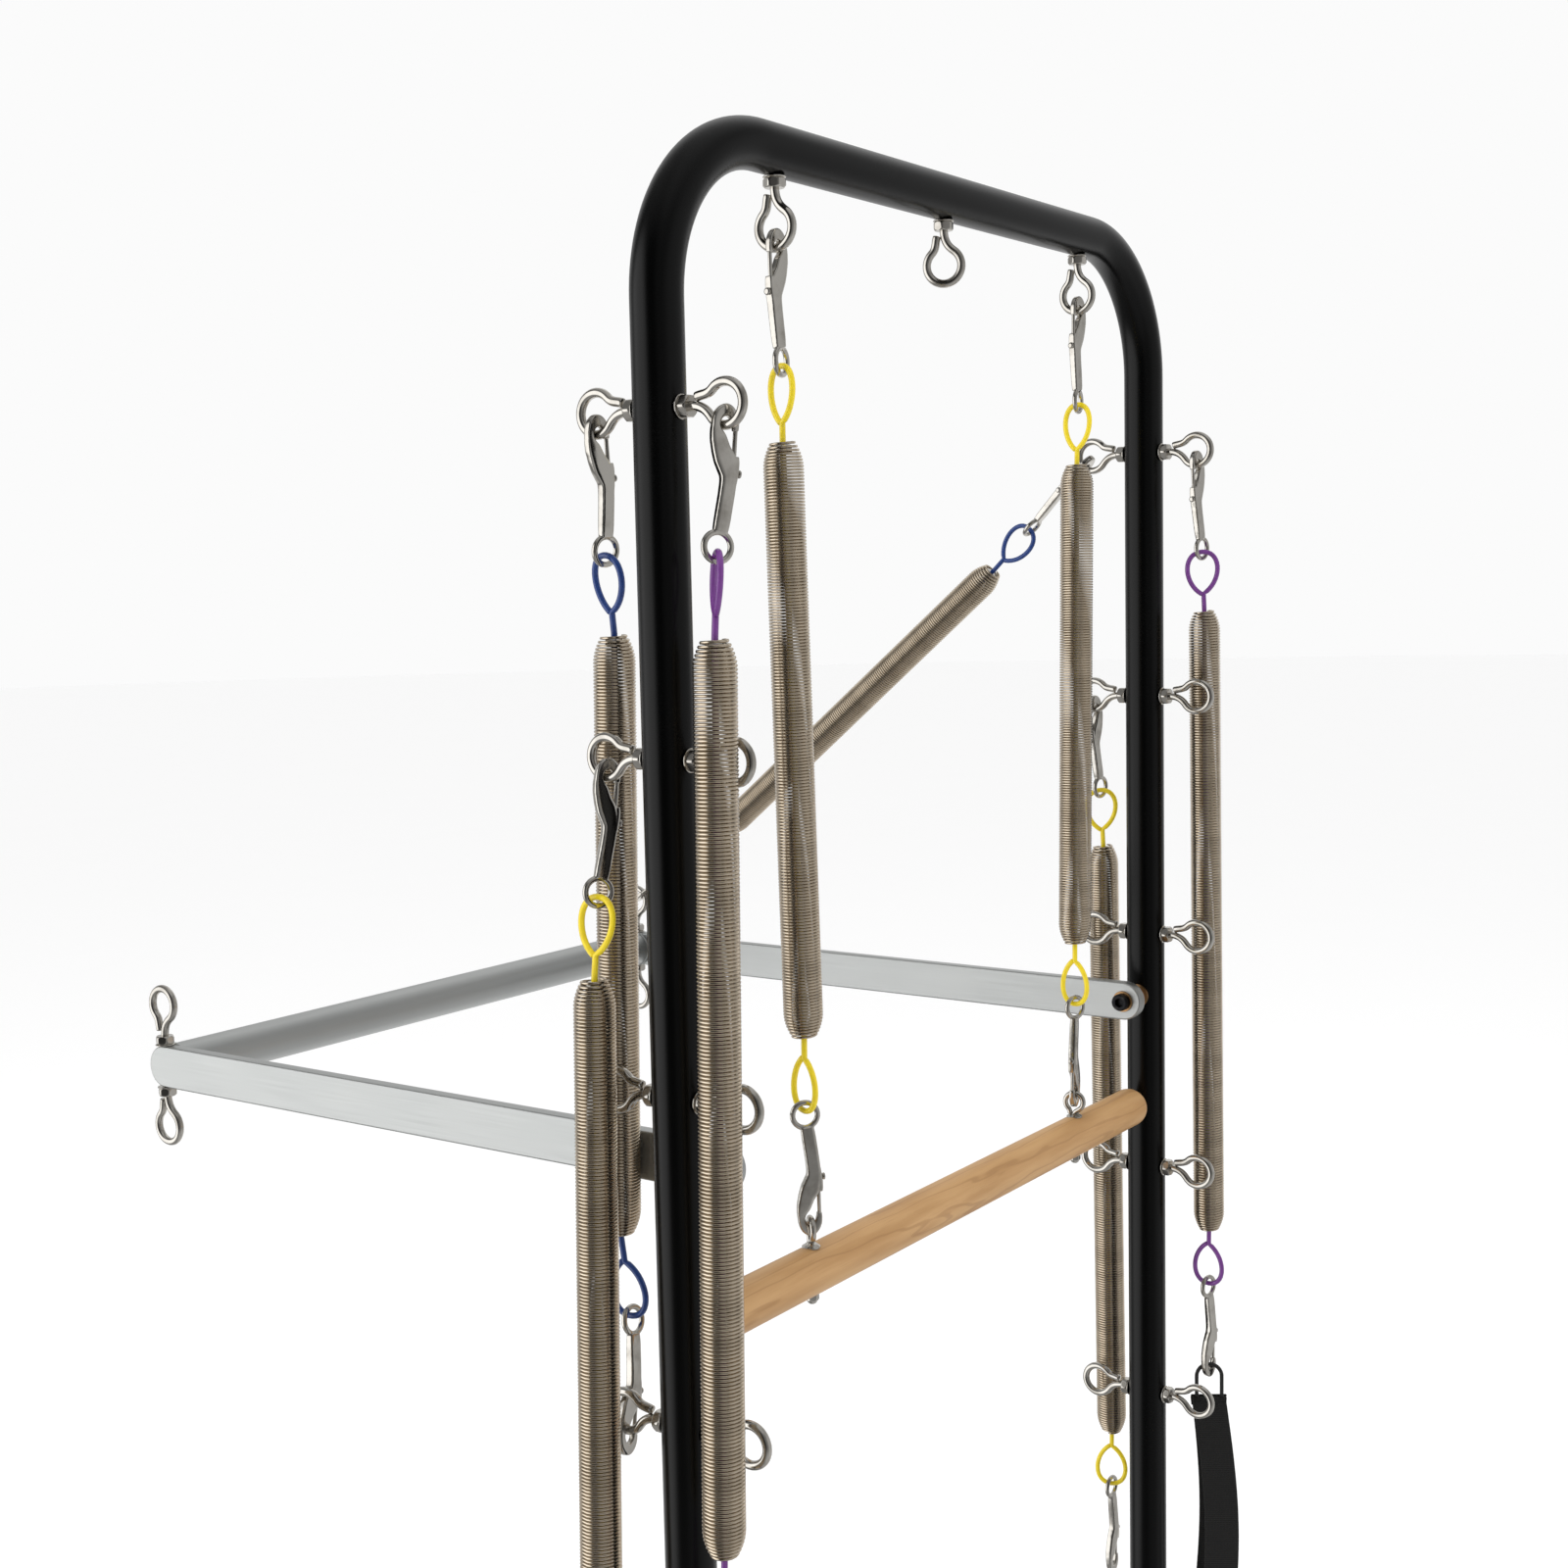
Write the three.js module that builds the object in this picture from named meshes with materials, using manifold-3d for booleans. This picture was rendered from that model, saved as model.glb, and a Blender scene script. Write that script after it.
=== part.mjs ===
// Pilates tower unit: a bent tube frame with eye bolts, a push-through bar, a roll-down bar and
// eight tension springs that hang on bolt snaps. Millimetres, +Z up, +X to the right upright,
// +Y to the side the push-through bar points to. The origin lies midway between the two feet.

import * as THREE from 'three';
import { mergeVertices } from 'three/addons/utils/BufferGeometryUtils.js';
import Module from 'manifold-3d';

const wasm = await Module();
wasm.setup();

// Frame
const uprightSpacing = 780;
const tubeDiameter = 38;
const tubeWall = 2.5;
const bendRadius = 122;
const topRowHeight = 1400;
const topBarRise = 197;
const rowPitch = 243.5;
const rowCount = 5;
const footWidth = 70;
const footDepth = 60;
const footThickness = 8;
const footHoleDiameter = 9;
const footHoleInset = 13;

// Eye bolts
const ringOuter = 36.5;
const ringWire = 7;
const ringReach = 37.5;
const nutAcross = 15;
const nutThickness = 8.5;
const topEyeToBend = 22;
const topEyeShank = 16;

// Push-through bar
const pivotDrop = 549;
const armReach = 631;
const armHeight = 38;
const armThickness = 12;
const pivotBoltDiameter = 10;
const pivotHeadDiameter = 17;
const pivotHeadThickness = 9;
const bushDiameter = 24;
const bushLength = 23;
const crossbarDiameter = 38;
const crossbarWall = 3;
const cornerEyeSetback = 3;

// Roll-down bar
const rollBarDiameter = 38;
const rollBarLength = 726;
const rollEyeSpacing = 227;
const rollRingOuter = 22.5;
const rollRingWire = 5;
const rollRingReach = 14;
const rollNutAcross = 10;
const rollNutThickness = 5;
const rollTailLength = 8;
const rollCollarAcross = 13;
const rollCollarThickness = 3;

// Springs
const springDiameter = 31.5;
const springWire = 2.4;
const springEndDiameter = 18;
const springTaper = 20;
const curlPitch = 3;
const curlCount = 2;
const legSpringLength = 642;
const armSpringLength = 642;
const rollSpringLength = 459;

// Safety cables
const cableDiameter = 4.8;
const loopWidth = 33;
const rollLoopWidth = 28;
const loopLength = 42;
const loopOutShare = 1.4;
const loopAlongShare = 0.72;
const loopTipShare = 1.4;
const loopSeat = 1.8;
const eyeToSpring = 61.5;
const rollLoopDraw = 3;
const stopLength = 6;

// Bolt snaps
const snapThickness = 4.8;
const snapEyeOuter = 24.6;
const snapEyeHole = 15.4;
const hookToEye = 87.4;
const hookWidth = 24;
const hookLength = 46;
const hookCrown = 9;
const openingWidth = 11;
const openingHeight = 23;
const openingCorner = 3;
const shankWidth = 11;
const neckHeight = 78;
const hookOffset = 1.5;
const thumbBoltOffset = 7.3;
const thumbBoltDiameter = 3.4;
const thumbLugWidth = 3;
const thumbLugLength = 8;
const thumbTravel = 9;
const barrelLength = 20;
const noseHeight = 7.5;

// How the chains hang
const springRest = 0.6;
const leftArmRest = 4.4;
const leftLegTilt = 0.024;
const rightLegTilt = 0.016;
const leftArmTilt = 0.03;
const rightArmTilt = 0.019;
const storedInset = 26;
const storedSetbackTop = 11.8;
const storedSetbackBottom = 22.8;
const storedSpringLength = 451.5;
const storedSlack = 3.6;
const storedSnapLean = 0.4;
const storedSnapSetback = 0.2;
const holdUpSag = 0.09;

// How far the hooks, eyes, loops and rings are turned about their own axes, in radians
const topRingTurns = { left: 1.72, middle: 1.9, right: 1.72 };
const legTurns = {
  left: { upperHook: -0.35, upperLoop: 0.8, lowerHook: -0.2, lowerLoop: -1.6 },
  right: { upperHook: 3.24, upperLoop: -1, lowerHook: -0.2, lowerLoop: -1.6 },
};
const armTurns = {
  left: { upperHook: -0.35, upperLoop: -1.6, lowerHook: -0.03, lowerLoop: -1.2 },
  right: { upperHook: 3.29, upperLoop: -1, lowerHook: -0.03, lowerLoop: -1.2 },
};
const storedTurns = { upperHook: -0.2, upperLoop: -1.78, lowerHook: 0, lowerLoop: -1.5 };
const holdUpTurns = {
  upperHook: Math.PI,
  upperLoop: Math.PI / 2,
  lowerHook: Math.PI,
  lowerLoop: Math.PI / 2,
};
const rollTurns = {
  left: { upperHook: 3.3, upperLoop: -1.82, lowerLoop: -1.8, ring: 0.82, lowerTwist: 0 },
  right: { upperHook: 3.3, upperLoop: -1.54, lowerLoop: -1.5, ring: 1.76, lowerTwist: -0.55 },
};
const strapTurn = -1.2;

// Foot straps
const webbingWidth = 35;
const webbingThickness = 2.5;
const strapDrop = 262;
const strapBulge = 44;
const strapCordDiameter = 4;
const strapCordWidth = 26;
const strapCordLength = 40;

// Fits
const gap = 0.3;
const hookGap = 1.3;
const rollHookGap = 1.3;
const overrun = 5;

// Roundness
const tubeSides = 16;
const wireSides = 6;
const ringSides = 5;
const coilSides = 8;
const curlSides = 5;
const curlSteps = 8;
const roundSides = 8;
const bendSteps = 6;
const ringSteps = 9;
const ringStepTurn = Math.PI / 5;
const loopSteps = 5;
const snapArcSteps = 4;

const tubeRadius = tubeDiameter / 2;
const ringRadius = (ringOuter - ringWire) / 2;
const rollRingRadius = (rollRingOuter - rollRingWire) / 2;
const uprightX = uprightSpacing / 2;
const topEyeSpacing = uprightX - bendRadius - topEyeToBend;
const topBarHeight = topRowHeight + topBarRise;
const topBarUnderside = topBarHeight - tubeRadius;
const pivotHeight = topRowHeight - pivotDrop;
const rowHeight = (row) => topRowHeight - (row - 1) * rowPitch;
const armOuterX = uprightX - tubeRadius - bushLength - 2 * gap;
const armInnerX = armOuterX - armThickness;
const armCentreX = armOuterX - armThickness / 2;
const cornerY = armReach + cornerEyeSetback;

// Length from the wire that a hook hangs on to the end of the spring beyond it.
const wireToEye = hookToEye - ringWire / 2 - hookGap;
const connector = wireToEye + eyeToSpring;

const blackPaint = new THREE.MeshStandardMaterial({ color: 0x16171a, roughness: 0.42, metalness: 0.3 });
const nickel = new THREE.MeshStandardMaterial({ color: 0xb4afa6, roughness: 0.25, metalness: 1 });
const springSteel = new THREE.MeshStandardMaterial({ color: 0x8d8273, roughness: 0.35, metalness: 1 });
const aluminium = new THREE.MeshStandardMaterial({ color: 0xb9bdbf, roughness: 0.45, metalness: 0.9 });
const maple = new THREE.MeshStandardMaterial({ color: 0xc79a63, roughness: 0.5, metalness: 0 });
const yellowCoat = new THREE.MeshStandardMaterial({ color: 0xe8c818, roughness: 0.35, metalness: 0 });
const blueCoat = new THREE.MeshStandardMaterial({ color: 0x143c86, roughness: 0.35, metalness: 0 });
const purpleCoat = new THREE.MeshStandardMaterial({ color: 0x6c3388, roughness: 0.35, metalness: 0 });
const webbing = new THREE.MeshStandardMaterial({ color: 0x141414, roughness: 0.9, metalness: 0 });
const blackBolt = new THREE.MeshStandardMaterial({ color: 0x1d1c1b, roughness: 0.5, metalness: 0.6 });

const tower = new THREE.Group();
const up = new THREE.Vector3(0, 0, 1);
const point = (x, y, z) => new THREE.Vector3(x, y, z);

// A route through stations chosen by the piece that uses it, one section at each.
class Route extends THREE.Curve {
  constructor(stations) {
    super();
    this.stations = stations;
  }

  getPoint(share) {
    const place = share * (this.stations.length - 1);
    const before = Math.min(Math.floor(place), this.stations.length - 2);
    return this.stations[before].clone().lerp(this.stations[before + 1], place - before);
  }

  getPointAt(share) {
    return this.getPoint(share);
  }

  getTangentAt(share) {
    const last = this.stations.length - 1;
    const here = Math.round(share * last);
    const before = this.stations[Math.max(here - 1, 0)];
    const after = this.stations[Math.min(here + 1, last)];
    return after.clone().sub(before).normalize();
  }
}

function solid(geometry) {
  geometry.deleteAttribute('normal');
  geometry.deleteAttribute('uv');
  const merged = mergeVertices(geometry);
  const vertProperties = new Float32Array(merged.attributes.position.array);
  const triVerts = new Uint32Array(merged.index.array);
  return new wasm.Manifold(new wasm.Mesh({ numProp: 3, vertProperties, triVerts }));
}

function geometryOf(body) {
  const { vertProperties, triVerts } = body.getMesh();
  const geometry = new THREE.BufferGeometry();
  geometry.setAttribute('position', new THREE.BufferAttribute(vertProperties, 3));
  geometry.setIndex(new THREE.BufferAttribute(triVerts, 1));
  return geometry;
}

// The corner radius of a faceted hole that clears a round bar of the given radius.
const holeFor = (radius, sides) => (radius + gap) / Math.cos(Math.PI / sides);

const join = (bodies) => bodies.reduce((whole, body) => whole.add(body));

function addPiece(name, body, material, placing) {
  const mesh = new THREE.Mesh(geometryOf(body), material);
  mesh.name = name;
  if (placing) {
    mesh.applyMatrix4(placing);
  }
  tower.add(mesh);
}

function regularSection(radius, sides) {
  const corners = Array.from({ length: sides }, (_, corner) => {
    const angle = (corner / sides) * 2 * Math.PI;
    return new THREE.Vector2(radius * Math.cos(angle), radius * Math.sin(angle));
  });
  return new THREE.Shape(corners);
}

function rodAlong(stations, radius, sides) {
  return solid(new THREE.ExtrudeGeometry(regularSection(radius, sides), {
    steps: stations.length - 1,
    extrudePath: new Route(stations),
  }));
}

// A round, or with few sides a hexagonal, bar between two heights on the local Z axis.
function bar(radius, low, high, sides) {
  const geometry = new THREE.CylinderGeometry(radius, radius, high - low, sides);
  geometry.rotateX(Math.PI / 2);
  geometry.translate(0, 0, (low + high) / 2);
  return solid(geometry);
}

function block(width, depth, height, x, y, z) {
  const geometry = new THREE.BoxGeometry(width, depth, height);
  geometry.translate(x, y, z);
  return solid(geometry);
}

const moved = (body, matrix) => body.transform(matrix.elements);

// A place whose local Z runs along the given direction, turned about it by an azimuth.
function placeAlong(origin, direction, azimuth) {
  const along = direction.clone().normalize();
  const sideways = point(Math.cos(azimuth), Math.sin(azimuth), 0);
  sideways.addScaledVector(along, -sideways.dot(along)).normalize();
  const across = along.clone().cross(sideways);
  return new THREE.Matrix4().makeBasis(sideways, across, along).setPosition(origin);
}

const pivotHoleRadius = holeFor(pivotBoltDiameter / 2, roundSides);

// Frame tube with its feet

function archStations(radius) {
  const stations = [point(-uprightX, 0, -radius)];
  for (let step = 0; step <= bendSteps; step += 1) {
    const angle = Math.PI - (step / bendSteps) * (Math.PI / 2);
    const centre = point(-uprightX + bendRadius, 0, topBarHeight - bendRadius);
    stations.push(centre.add(point(bendRadius * Math.cos(angle), 0, bendRadius * Math.sin(angle))));
  }
  const mirrored = stations.map((station) => point(-station.x, 0, station.z)).reverse();
  return stations.concat(mirrored);
}

function footPlate(side) {
  const holeX = footWidth / 2 - footHoleInset;
  const holeY = footDepth / 2 - footHoleInset;
  let plate = block(footWidth, footDepth, footThickness, side * uprightX, 0, footThickness / 2);
  for (const [x, y] of [[-1, -1], [-1, 1], [1, -1], [1, 1]]) {
    const hole = bar(footHoleDiameter / 2, -overrun, footThickness + overrun, roundSides);
    plate = plate.subtract(hole.translate([side * uprightX + x * holeX, y * holeY, 0]));
  }
  return plate;
}

function frameTube() {
  const outer = rodAlong(archStations(0), tubeRadius, tubeSides);
  const inner = rodAlong(archStations(overrun), tubeRadius - tubeWall, roundSides);
  let frame = join([outer, footPlate(-1), footPlate(1)]).subtract(inner);
  const boltHole = holeFor(ringWire / 2, wireSides);
  const throughHole = bar(boltHole, -tubeDiameter, tubeDiameter, wireSides);
  const acrossTube = new THREE.Matrix4().makeRotationX(-Math.PI / 2);
  for (const side of [-1, 1]) {
    for (let row = 1; row <= rowCount; row += 1) {
      const placing = acrossTube.clone().setPosition(side * uprightX, 0, rowHeight(row));
      frame = frame.subtract(moved(throughHole, placing));
    }
    const pivotHole = bar(pivotHoleRadius, 0, tubeRadius + overrun, roundSides);
    const placing = placeAlong(point(side * uprightX, 0, pivotHeight), point(-side, 0, 0), Math.PI / 2);
    frame = frame.subtract(moved(pivotHole, placing));
  }
  for (const place of [-1, 0, 1]) {
    const topHole = bar(boltHole, topBarUnderside - overrun, topBarHeight, wireSides);
    frame = frame.subtract(topHole.translate([place * topEyeSpacing, 0, 0]));
  }
  return frame;
}

// Eye bolts, drawn with the shank along local Z and the ring in the local XZ plane

// The wire's route from the shank round to the open end of the ring, which has a station
// where a hook bears: at the side of the ring, or at its outermost point.
function eyeStations(eye, start, firstTurn) {
  const stations = [point(0, 0, start), point(0, 0, start + (eye.reach - eye.radius) / 2)];
  for (let step = 0; step < ringSteps; step += 1) {
    const angle = firstTurn + step * ringStepTurn;
    const across = eye.radius * Math.sin(angle);
    stations.push(point(across, 0, start + eye.reach + eye.radius * Math.cos(angle)));
  }
  return stations;
}

const sideBearing = 1.3 * Math.PI;
const outerBearing = 1.2 * Math.PI;

// The corner radius of a hexagon of the given width across its flats.
const hexagonRadius = (across) => across / Math.sqrt(3);

// A hexagon nut seated on a face at the given height.
const nutOn = (eye, face) => bar(hexagonRadius(eye.nut), face + gap, face + gap + eye.nutHeight, wireSides);

const frameEye = {
  wire: ringWire,
  radius: ringRadius,
  reach: ringReach,
  tail: topEyeShank,
  nut: nutAcross,
  nutHeight: nutThickness,
};

function eyeBolt(eye) {
  const stations = [point(0, 0, -eye.tail), ...eyeStations(eye, 0, outerBearing)];
  return rodAlong(stations, eye.wire / 2, ringSides).add(nutOn(eye, 0));
}

// Two eyes on one shank that passes through a wall of the given thickness.
function eyePair(thickness) {
  const half = thickness / 2;
  const front = eyeStations(frameEye, half, sideBearing);
  const back = front.map((station) => point(station.x, 0, -station.z)).reverse();
  const nut = nutOn(frameEye, half);
  const otherNut = nut.translate([0, 0, -thickness - 2 * gap - frameEye.nutHeight]);
  return join([rodAlong([...back, ...front], ringWire / 2, ringSides), nut, otherNut]);
}

function addFrameEyes() {
  const pair = eyePair(tubeDiameter);
  for (const [side, label] of [[-1, 'left'], [1, 'right']]) {
    for (let row = 1; row <= rowCount; row += 1) {
      const centre = point(side * uprightX, 0, rowHeight(row));
      const placing = new THREE.Matrix4().makeBasis(up, point(1, 0, 0), point(0, 1, 0));
      addPiece(`eye_bolt_${label}_row_${row}`, pair, nickel, placing.setPosition(centre));
    }
  }
  const single = eyeBolt(frameEye);
  for (const [place, label] of [[-1, 'left'], [0, 'middle'], [1, 'right']]) {
    const head = point(place * topEyeSpacing, 0, topBarUnderside);
    const placing = placeAlong(head, point(0, 0, -1), topRingTurns[label]);
    addPiece(`top_eye_${label}`, single, nickel, placing);
  }
}

// Push-through bar

function armOutline() {
  const radius = armHeight / 2;
  const outline = new THREE.Shape();
  outline.absarc(0, 0, radius, Math.PI / 2, -Math.PI / 2, false);
  outline.absarc(armReach, 0, radius, -Math.PI / 2, Math.PI / 2, false);
  return outline;
}

function arm() {
  const geometry = new THREE.ExtrudeGeometry(armOutline(), {
    depth: armThickness,
    bevelEnabled: false,
    curveSegments: roundSides,
  });
  geometry.translate(0, 0, -armThickness / 2);
  const pivotHole = bar(pivotHoleRadius, -armThickness, armThickness, roundSides);
  const eyeHole = bar(holeFor(ringWire / 2, wireSides), -armHeight, armHeight, wireSides);
  const upright = placeAlong(point(cornerY, 0, 0), point(0, 1, 0), 0);
  return solid(geometry).subtract(pivotHole).subtract(moved(eyeHole, upright));
}

function addPushBar() {
  const onEdge = new THREE.Matrix4().makeBasis(point(0, 1, 0), up, point(1, 0, 0));
  const pair = eyePair(armHeight);
  for (const [side, label] of [[-1, 'left'], [1, 'right']]) {
    const armPlace = onEdge.clone().setPosition(side * armCentreX, 0, pivotHeight);
    addPiece(`push_bar_arm_${label}`, arm(), aluminium, armPlace);
    const eyePlace = placeAlong(point(side * armCentreX, cornerY, pivotHeight), up, Math.PI / 2);
    addPiece(`push_bar_eye_${label}`, pair, nickel, eyePlace);

    // The bolt is drawn from its head outwards: head, shank through the arm, bush and tip.
    const shankEnd = armThickness + 2 * gap + bushLength + gap + 2 * tubeWall + overrun;
    const head = bar(pivotHeadDiameter / 2, -pivotHeadThickness, 0, roundSides);
    const shank = bar(pivotBoltDiameter / 2, -pivotHeadThickness / 2, shankEnd, roundSides);
    const bushStart = armThickness + 2 * gap;
    const bush = bar(bushDiameter / 2, bushStart, bushStart + bushLength - gap, roundSides);
    const headFace = point(side * (armInnerX - gap), 0, pivotHeight);
    const boltPlace = placeAlong(headFace, point(side, 0, 0), Math.PI / 2);
    addPiece(`pivot_bolt_${label}`, join([head, shank, bush]), blackBolt, boltPlace);
  }
  const half = armInnerX - gap;
  const outerRadius = crossbarDiameter / 2;
  const innerRadius = outerRadius - crossbarWall;
  const profile = [[outerRadius, -half], [outerRadius, half], [innerRadius, half], [innerRadius, -half]];
  const tube = latheBody(profile, tubeSides);
  const acrossPlace = placeAlong(point(0, armReach, pivotHeight), point(1, 0, 0), Math.PI / 2);
  addPiece('push_bar_crossbar', tube, aluminium, acrossPlace);
}

// A closed ring-shaped profile of [radius, height] points turned about the local Z axis.
function latheBody(profile, sides) {
  const points = profile.map(([radius, height]) => new THREE.Vector2(radius, height));
  points.push(points[0].clone());
  const geometry = new THREE.LatheGeometry(points, sides);
  geometry.rotateX(Math.PI / 2);
  return solid(geometry);
}

// Springs

function springRadiusAt(height) {
  const share = Math.min(height / springTaper, 1);
  return (springEndDiameter + (springDiameter - springEndDiameter) * share) / 2;
}

const curlZone = curlPitch * curlCount;
let leastCurlGap = Infinity;

// The last open turns of wire at one end, wound up from the end of the tapered body.
function endCurls() {
  const stations = [];
  const steps = curlSteps * curlCount;
  const startHeight = curlZone + springWire / 3;
  for (let step = 0; step <= steps; step += 1) {
    const angle = (step / curlSteps) * 2 * Math.PI;
    const height = startHeight - (startHeight - springWire / 2) * (step / steps);
    const radius = springRadiusAt(height) - springWire / 2;
    stations.push(point(radius * Math.cos(angle), radius * Math.sin(angle), height));
  }
  stations.forEach((station, index) => {
    for (let other = index + curlSteps / 2; other < stations.length; other += 1) {
      leastCurlGap = Math.min(leastCurlGap, station.distanceTo(stations[other]) - springWire);
    }
  });
  return rodAlong(stations, springWire / 2, curlSides);
}

function springBody(length) {
  const outerEnd = springRadiusAt(curlZone);
  const outer = springDiameter / 2;
  const profile = [
    [outerEnd, curlZone],
    [outer, springTaper],
    [outer, length - springTaper],
    [outerEnd, length - curlZone],
    [outerEnd - springWire, length - curlZone],
    [outer - springWire, length - springTaper],
    [outer - springWire, springTaper],
    [outerEnd - springWire, curlZone],
  ];
  const curls = endCurls();
  const turned = new THREE.Matrix4().makeRotationX(Math.PI).setPosition(0, 0, length);
  return join([latheBody(profile, coilSides), curls, moved(curls, turned)]);
}

// Safety cables: a coloured loop at each end and a core through the spring

const eyeFlat = (snapEyeHole / 2) * Math.cos(Math.PI / (4 * snapArcSteps));
const tipShift = eyeFlat - cableDiameter / 2 - loopSeat;

// From the neck round through a snap's eye and back beside the neck, where the wire ends.
function loopStations(eye, mouth, azimuth, width) {
  const towards = mouth.clone().sub(eye).normalize();
  const sideways = point(Math.cos(azimuth), Math.sin(azimuth), 0);
  sideways.addScaledVector(towards, -sideways.dot(towards)).normalize();
  const side = (width - cableDiameter) / 2;
  const place = (across, along) => eye.clone().addScaledVector(sideways, across)
    .addScaledVector(towards, tipShift + along);
  const flank = (sign, start) => new THREE.CubicBezierCurve3(
    place(sign * start, loopLength),
    place(sign * side * loopOutShare, loopLength * loopAlongShare),
    place(sign * side * loopTipShare, 0),
    place(0, 0),
  );
  const going = flank(1, 0).getPoints(loopSteps);
  const coming = flank(-1, cableDiameter).getPoints(loopSteps).reverse();
  return going.concat(coming.slice(1));
}

function cable(chain, upperEye, lowerEye) {
  const { springTop, springBottom, turns } = chain;
  const width = chain.loopWidth ?? loopWidth;
  const upper = loopStations(upperEye, springTop, turns.upperLoop, width);
  const lower = loopStations(lowerEye, springBottom, turns.lowerLoop, width).reverse();
  const wire = rodAlong([...lower, springBottom, springTop, ...upper], cableDiameter / 2, ringSides);
  const stopRadius = (springRadiusAt(curlZone) - springWire) * Math.cos(Math.PI / coilSides) - gap;
  const along = springBottom.clone().sub(springTop);
  const stop = bar(stopRadius, curlZone, curlZone + stopLength, wireSides);
  const topStop = moved(stop, placeAlong(springTop, along, 0));
  const bottomStop = moved(stop, placeAlong(springBottom, along.negate(), 0));
  return join([wire, topStop, bottomStop]);
}

// Bolt snaps, drawn with the hook's bearing at the origin and the eye up local Z

const eyeRadius = snapEyeOuter / 2;
const boltX = hookOffset + thumbBoltOffset;
const boltSide = boltX + thumbBoltDiameter / 2;
const barrelStart = hookLength - barrelLength;

// Shares of the hook's width and length down the back of the hook, then of its width and crown.
const hookBackShares = [[-0.06, 1], [-0.09, 0.8], [-0.38, 0.5], [-0.45, 0.27], [-0.37, 0.02]];
const hookCrownShares = [[-0.2, -0.78], [0.05, -1], [0.27, -0.78]];

function hookOutline(withLug) {
  const half = shankWidth / 2;
  const outline = new THREE.Shape();
  outline.moveTo(half, neckHeight);
  outline.lineTo(-half, neckHeight);
  for (const [across, along] of hookBackShares) {
    outline.lineTo(across * hookWidth, along * hookLength);
  }
  for (const [across, along] of hookCrownShares) {
    outline.lineTo(across * hookWidth, along * hookCrown);
  }
  outline.lineTo(boltSide, 0);
  outline.lineTo(boltSide, barrelStart);
  if (withLug) {
    outline.lineTo(boltSide + thumbLugWidth, barrelStart + thumbLugWidth / 2);
    outline.lineTo(boltSide + thumbLugWidth, barrelStart + thumbLugLength - thumbLugWidth / 2);
    outline.lineTo(boltSide, barrelStart + thumbLugLength);
  }
  outline.lineTo(boltSide, hookLength);
  const right = boltX - thumbBoltDiameter / 2;
  const left = right - openingWidth;
  const opening = new THREE.Path();
  opening.moveTo(left + openingCorner, 0);
  opening.lineTo(right - openingCorner, 0);
  opening.lineTo(right, openingCorner);
  opening.lineTo(right, openingHeight - openingCorner);
  opening.lineTo(right - openingCorner, openingHeight);
  opening.lineTo(left + 2 * openingCorner, openingHeight);
  opening.lineTo(left, openingHeight - 2 * openingCorner);
  opening.lineTo(left, openingCorner);
  opening.closePath();
  outline.holes.push(opening);
  return outline;
}

function eyeOutline() {
  const outline = new THREE.Shape();
  outline.absarc(0, hookToEye, eyeRadius, 0, 2 * Math.PI, false);
  const hole = new THREE.Path();
  hole.absarc(0, hookToEye, snapEyeHole / 2, 0, 2 * Math.PI, true);
  outline.holes.push(hole);
  return outline;
}

function snapPlate(outline) {
  const geometry = new THREE.ExtrudeGeometry(outline, {
    depth: snapThickness,
    bevelEnabled: false,
    curveSegments: snapArcSteps,
  });
  geometry.translate(0, 0, -snapThickness / 2);
  geometry.rotateX(Math.PI / 2);
  return solid(geometry);
}

// The hook and the eye above it, which can be turned about the shank.
function snapBody(withLug, twist) {
  const turned = new THREE.Matrix4().makeRotationZ(twist);
  return snapPlate(hookOutline(withLug)).add(moved(snapPlate(eyeOutline()), turned));
}

// The same snap with its gate cut open and a channel for a thumb bolt that slides.
function openSnapBody() {
  const inner = boltX - thumbBoltDiameter / 2 - gap;
  const width = boltSide + thumbLugWidth + overrun - inner;
  const cut = (depth, low, high) => block(width, depth, high - low, inner + width / 2, 0, (low + high) / 2);
  const gate = cut(snapThickness + overrun, noseHeight, barrelStart);
  const channel = cut(thumbBoltDiameter + 2 * gap, barrelStart - gap, hookLength);
  return snapBody(false, 0).subtract(gate).subtract(channel);
}

function thumbBolt() {
  const top = hookLength - thumbTravel - gap;
  const rod = bar(thumbBoltDiameter / 2, noseHeight + gap, top, roundSides);
  const lugReach = boltSide + thumbLugWidth - boltX;
  const lugHeight = thumbLugLength / 2;
  const lugCentre = barrelStart + lugHeight;
  const lug = block(lugReach, thumbBoltDiameter - gap, lugHeight, lugReach / 2, 0, lugCentre);
  return join([rod, lug]).translate([boltX, 0, 0]);
}

// Chains: upper snap, cable and spring, lower snap

function snapPlace(wire, towardsEye, azimuth, slack) {
  const place = placeAlong(wire, towardsEye, azimuth);
  const shift = new THREE.Matrix4().makeTranslation(-hookOffset, 0, -slack);
  return place.multiply(shift);
}

function snapEyeCentre(place) {
  return point(0, 0, hookToEye).applyMatrix4(place);
}

const bearing = ringWire / 2 + hookGap;
const strapBearing = strapCordDiameter / 2 + hookGap;

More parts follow.
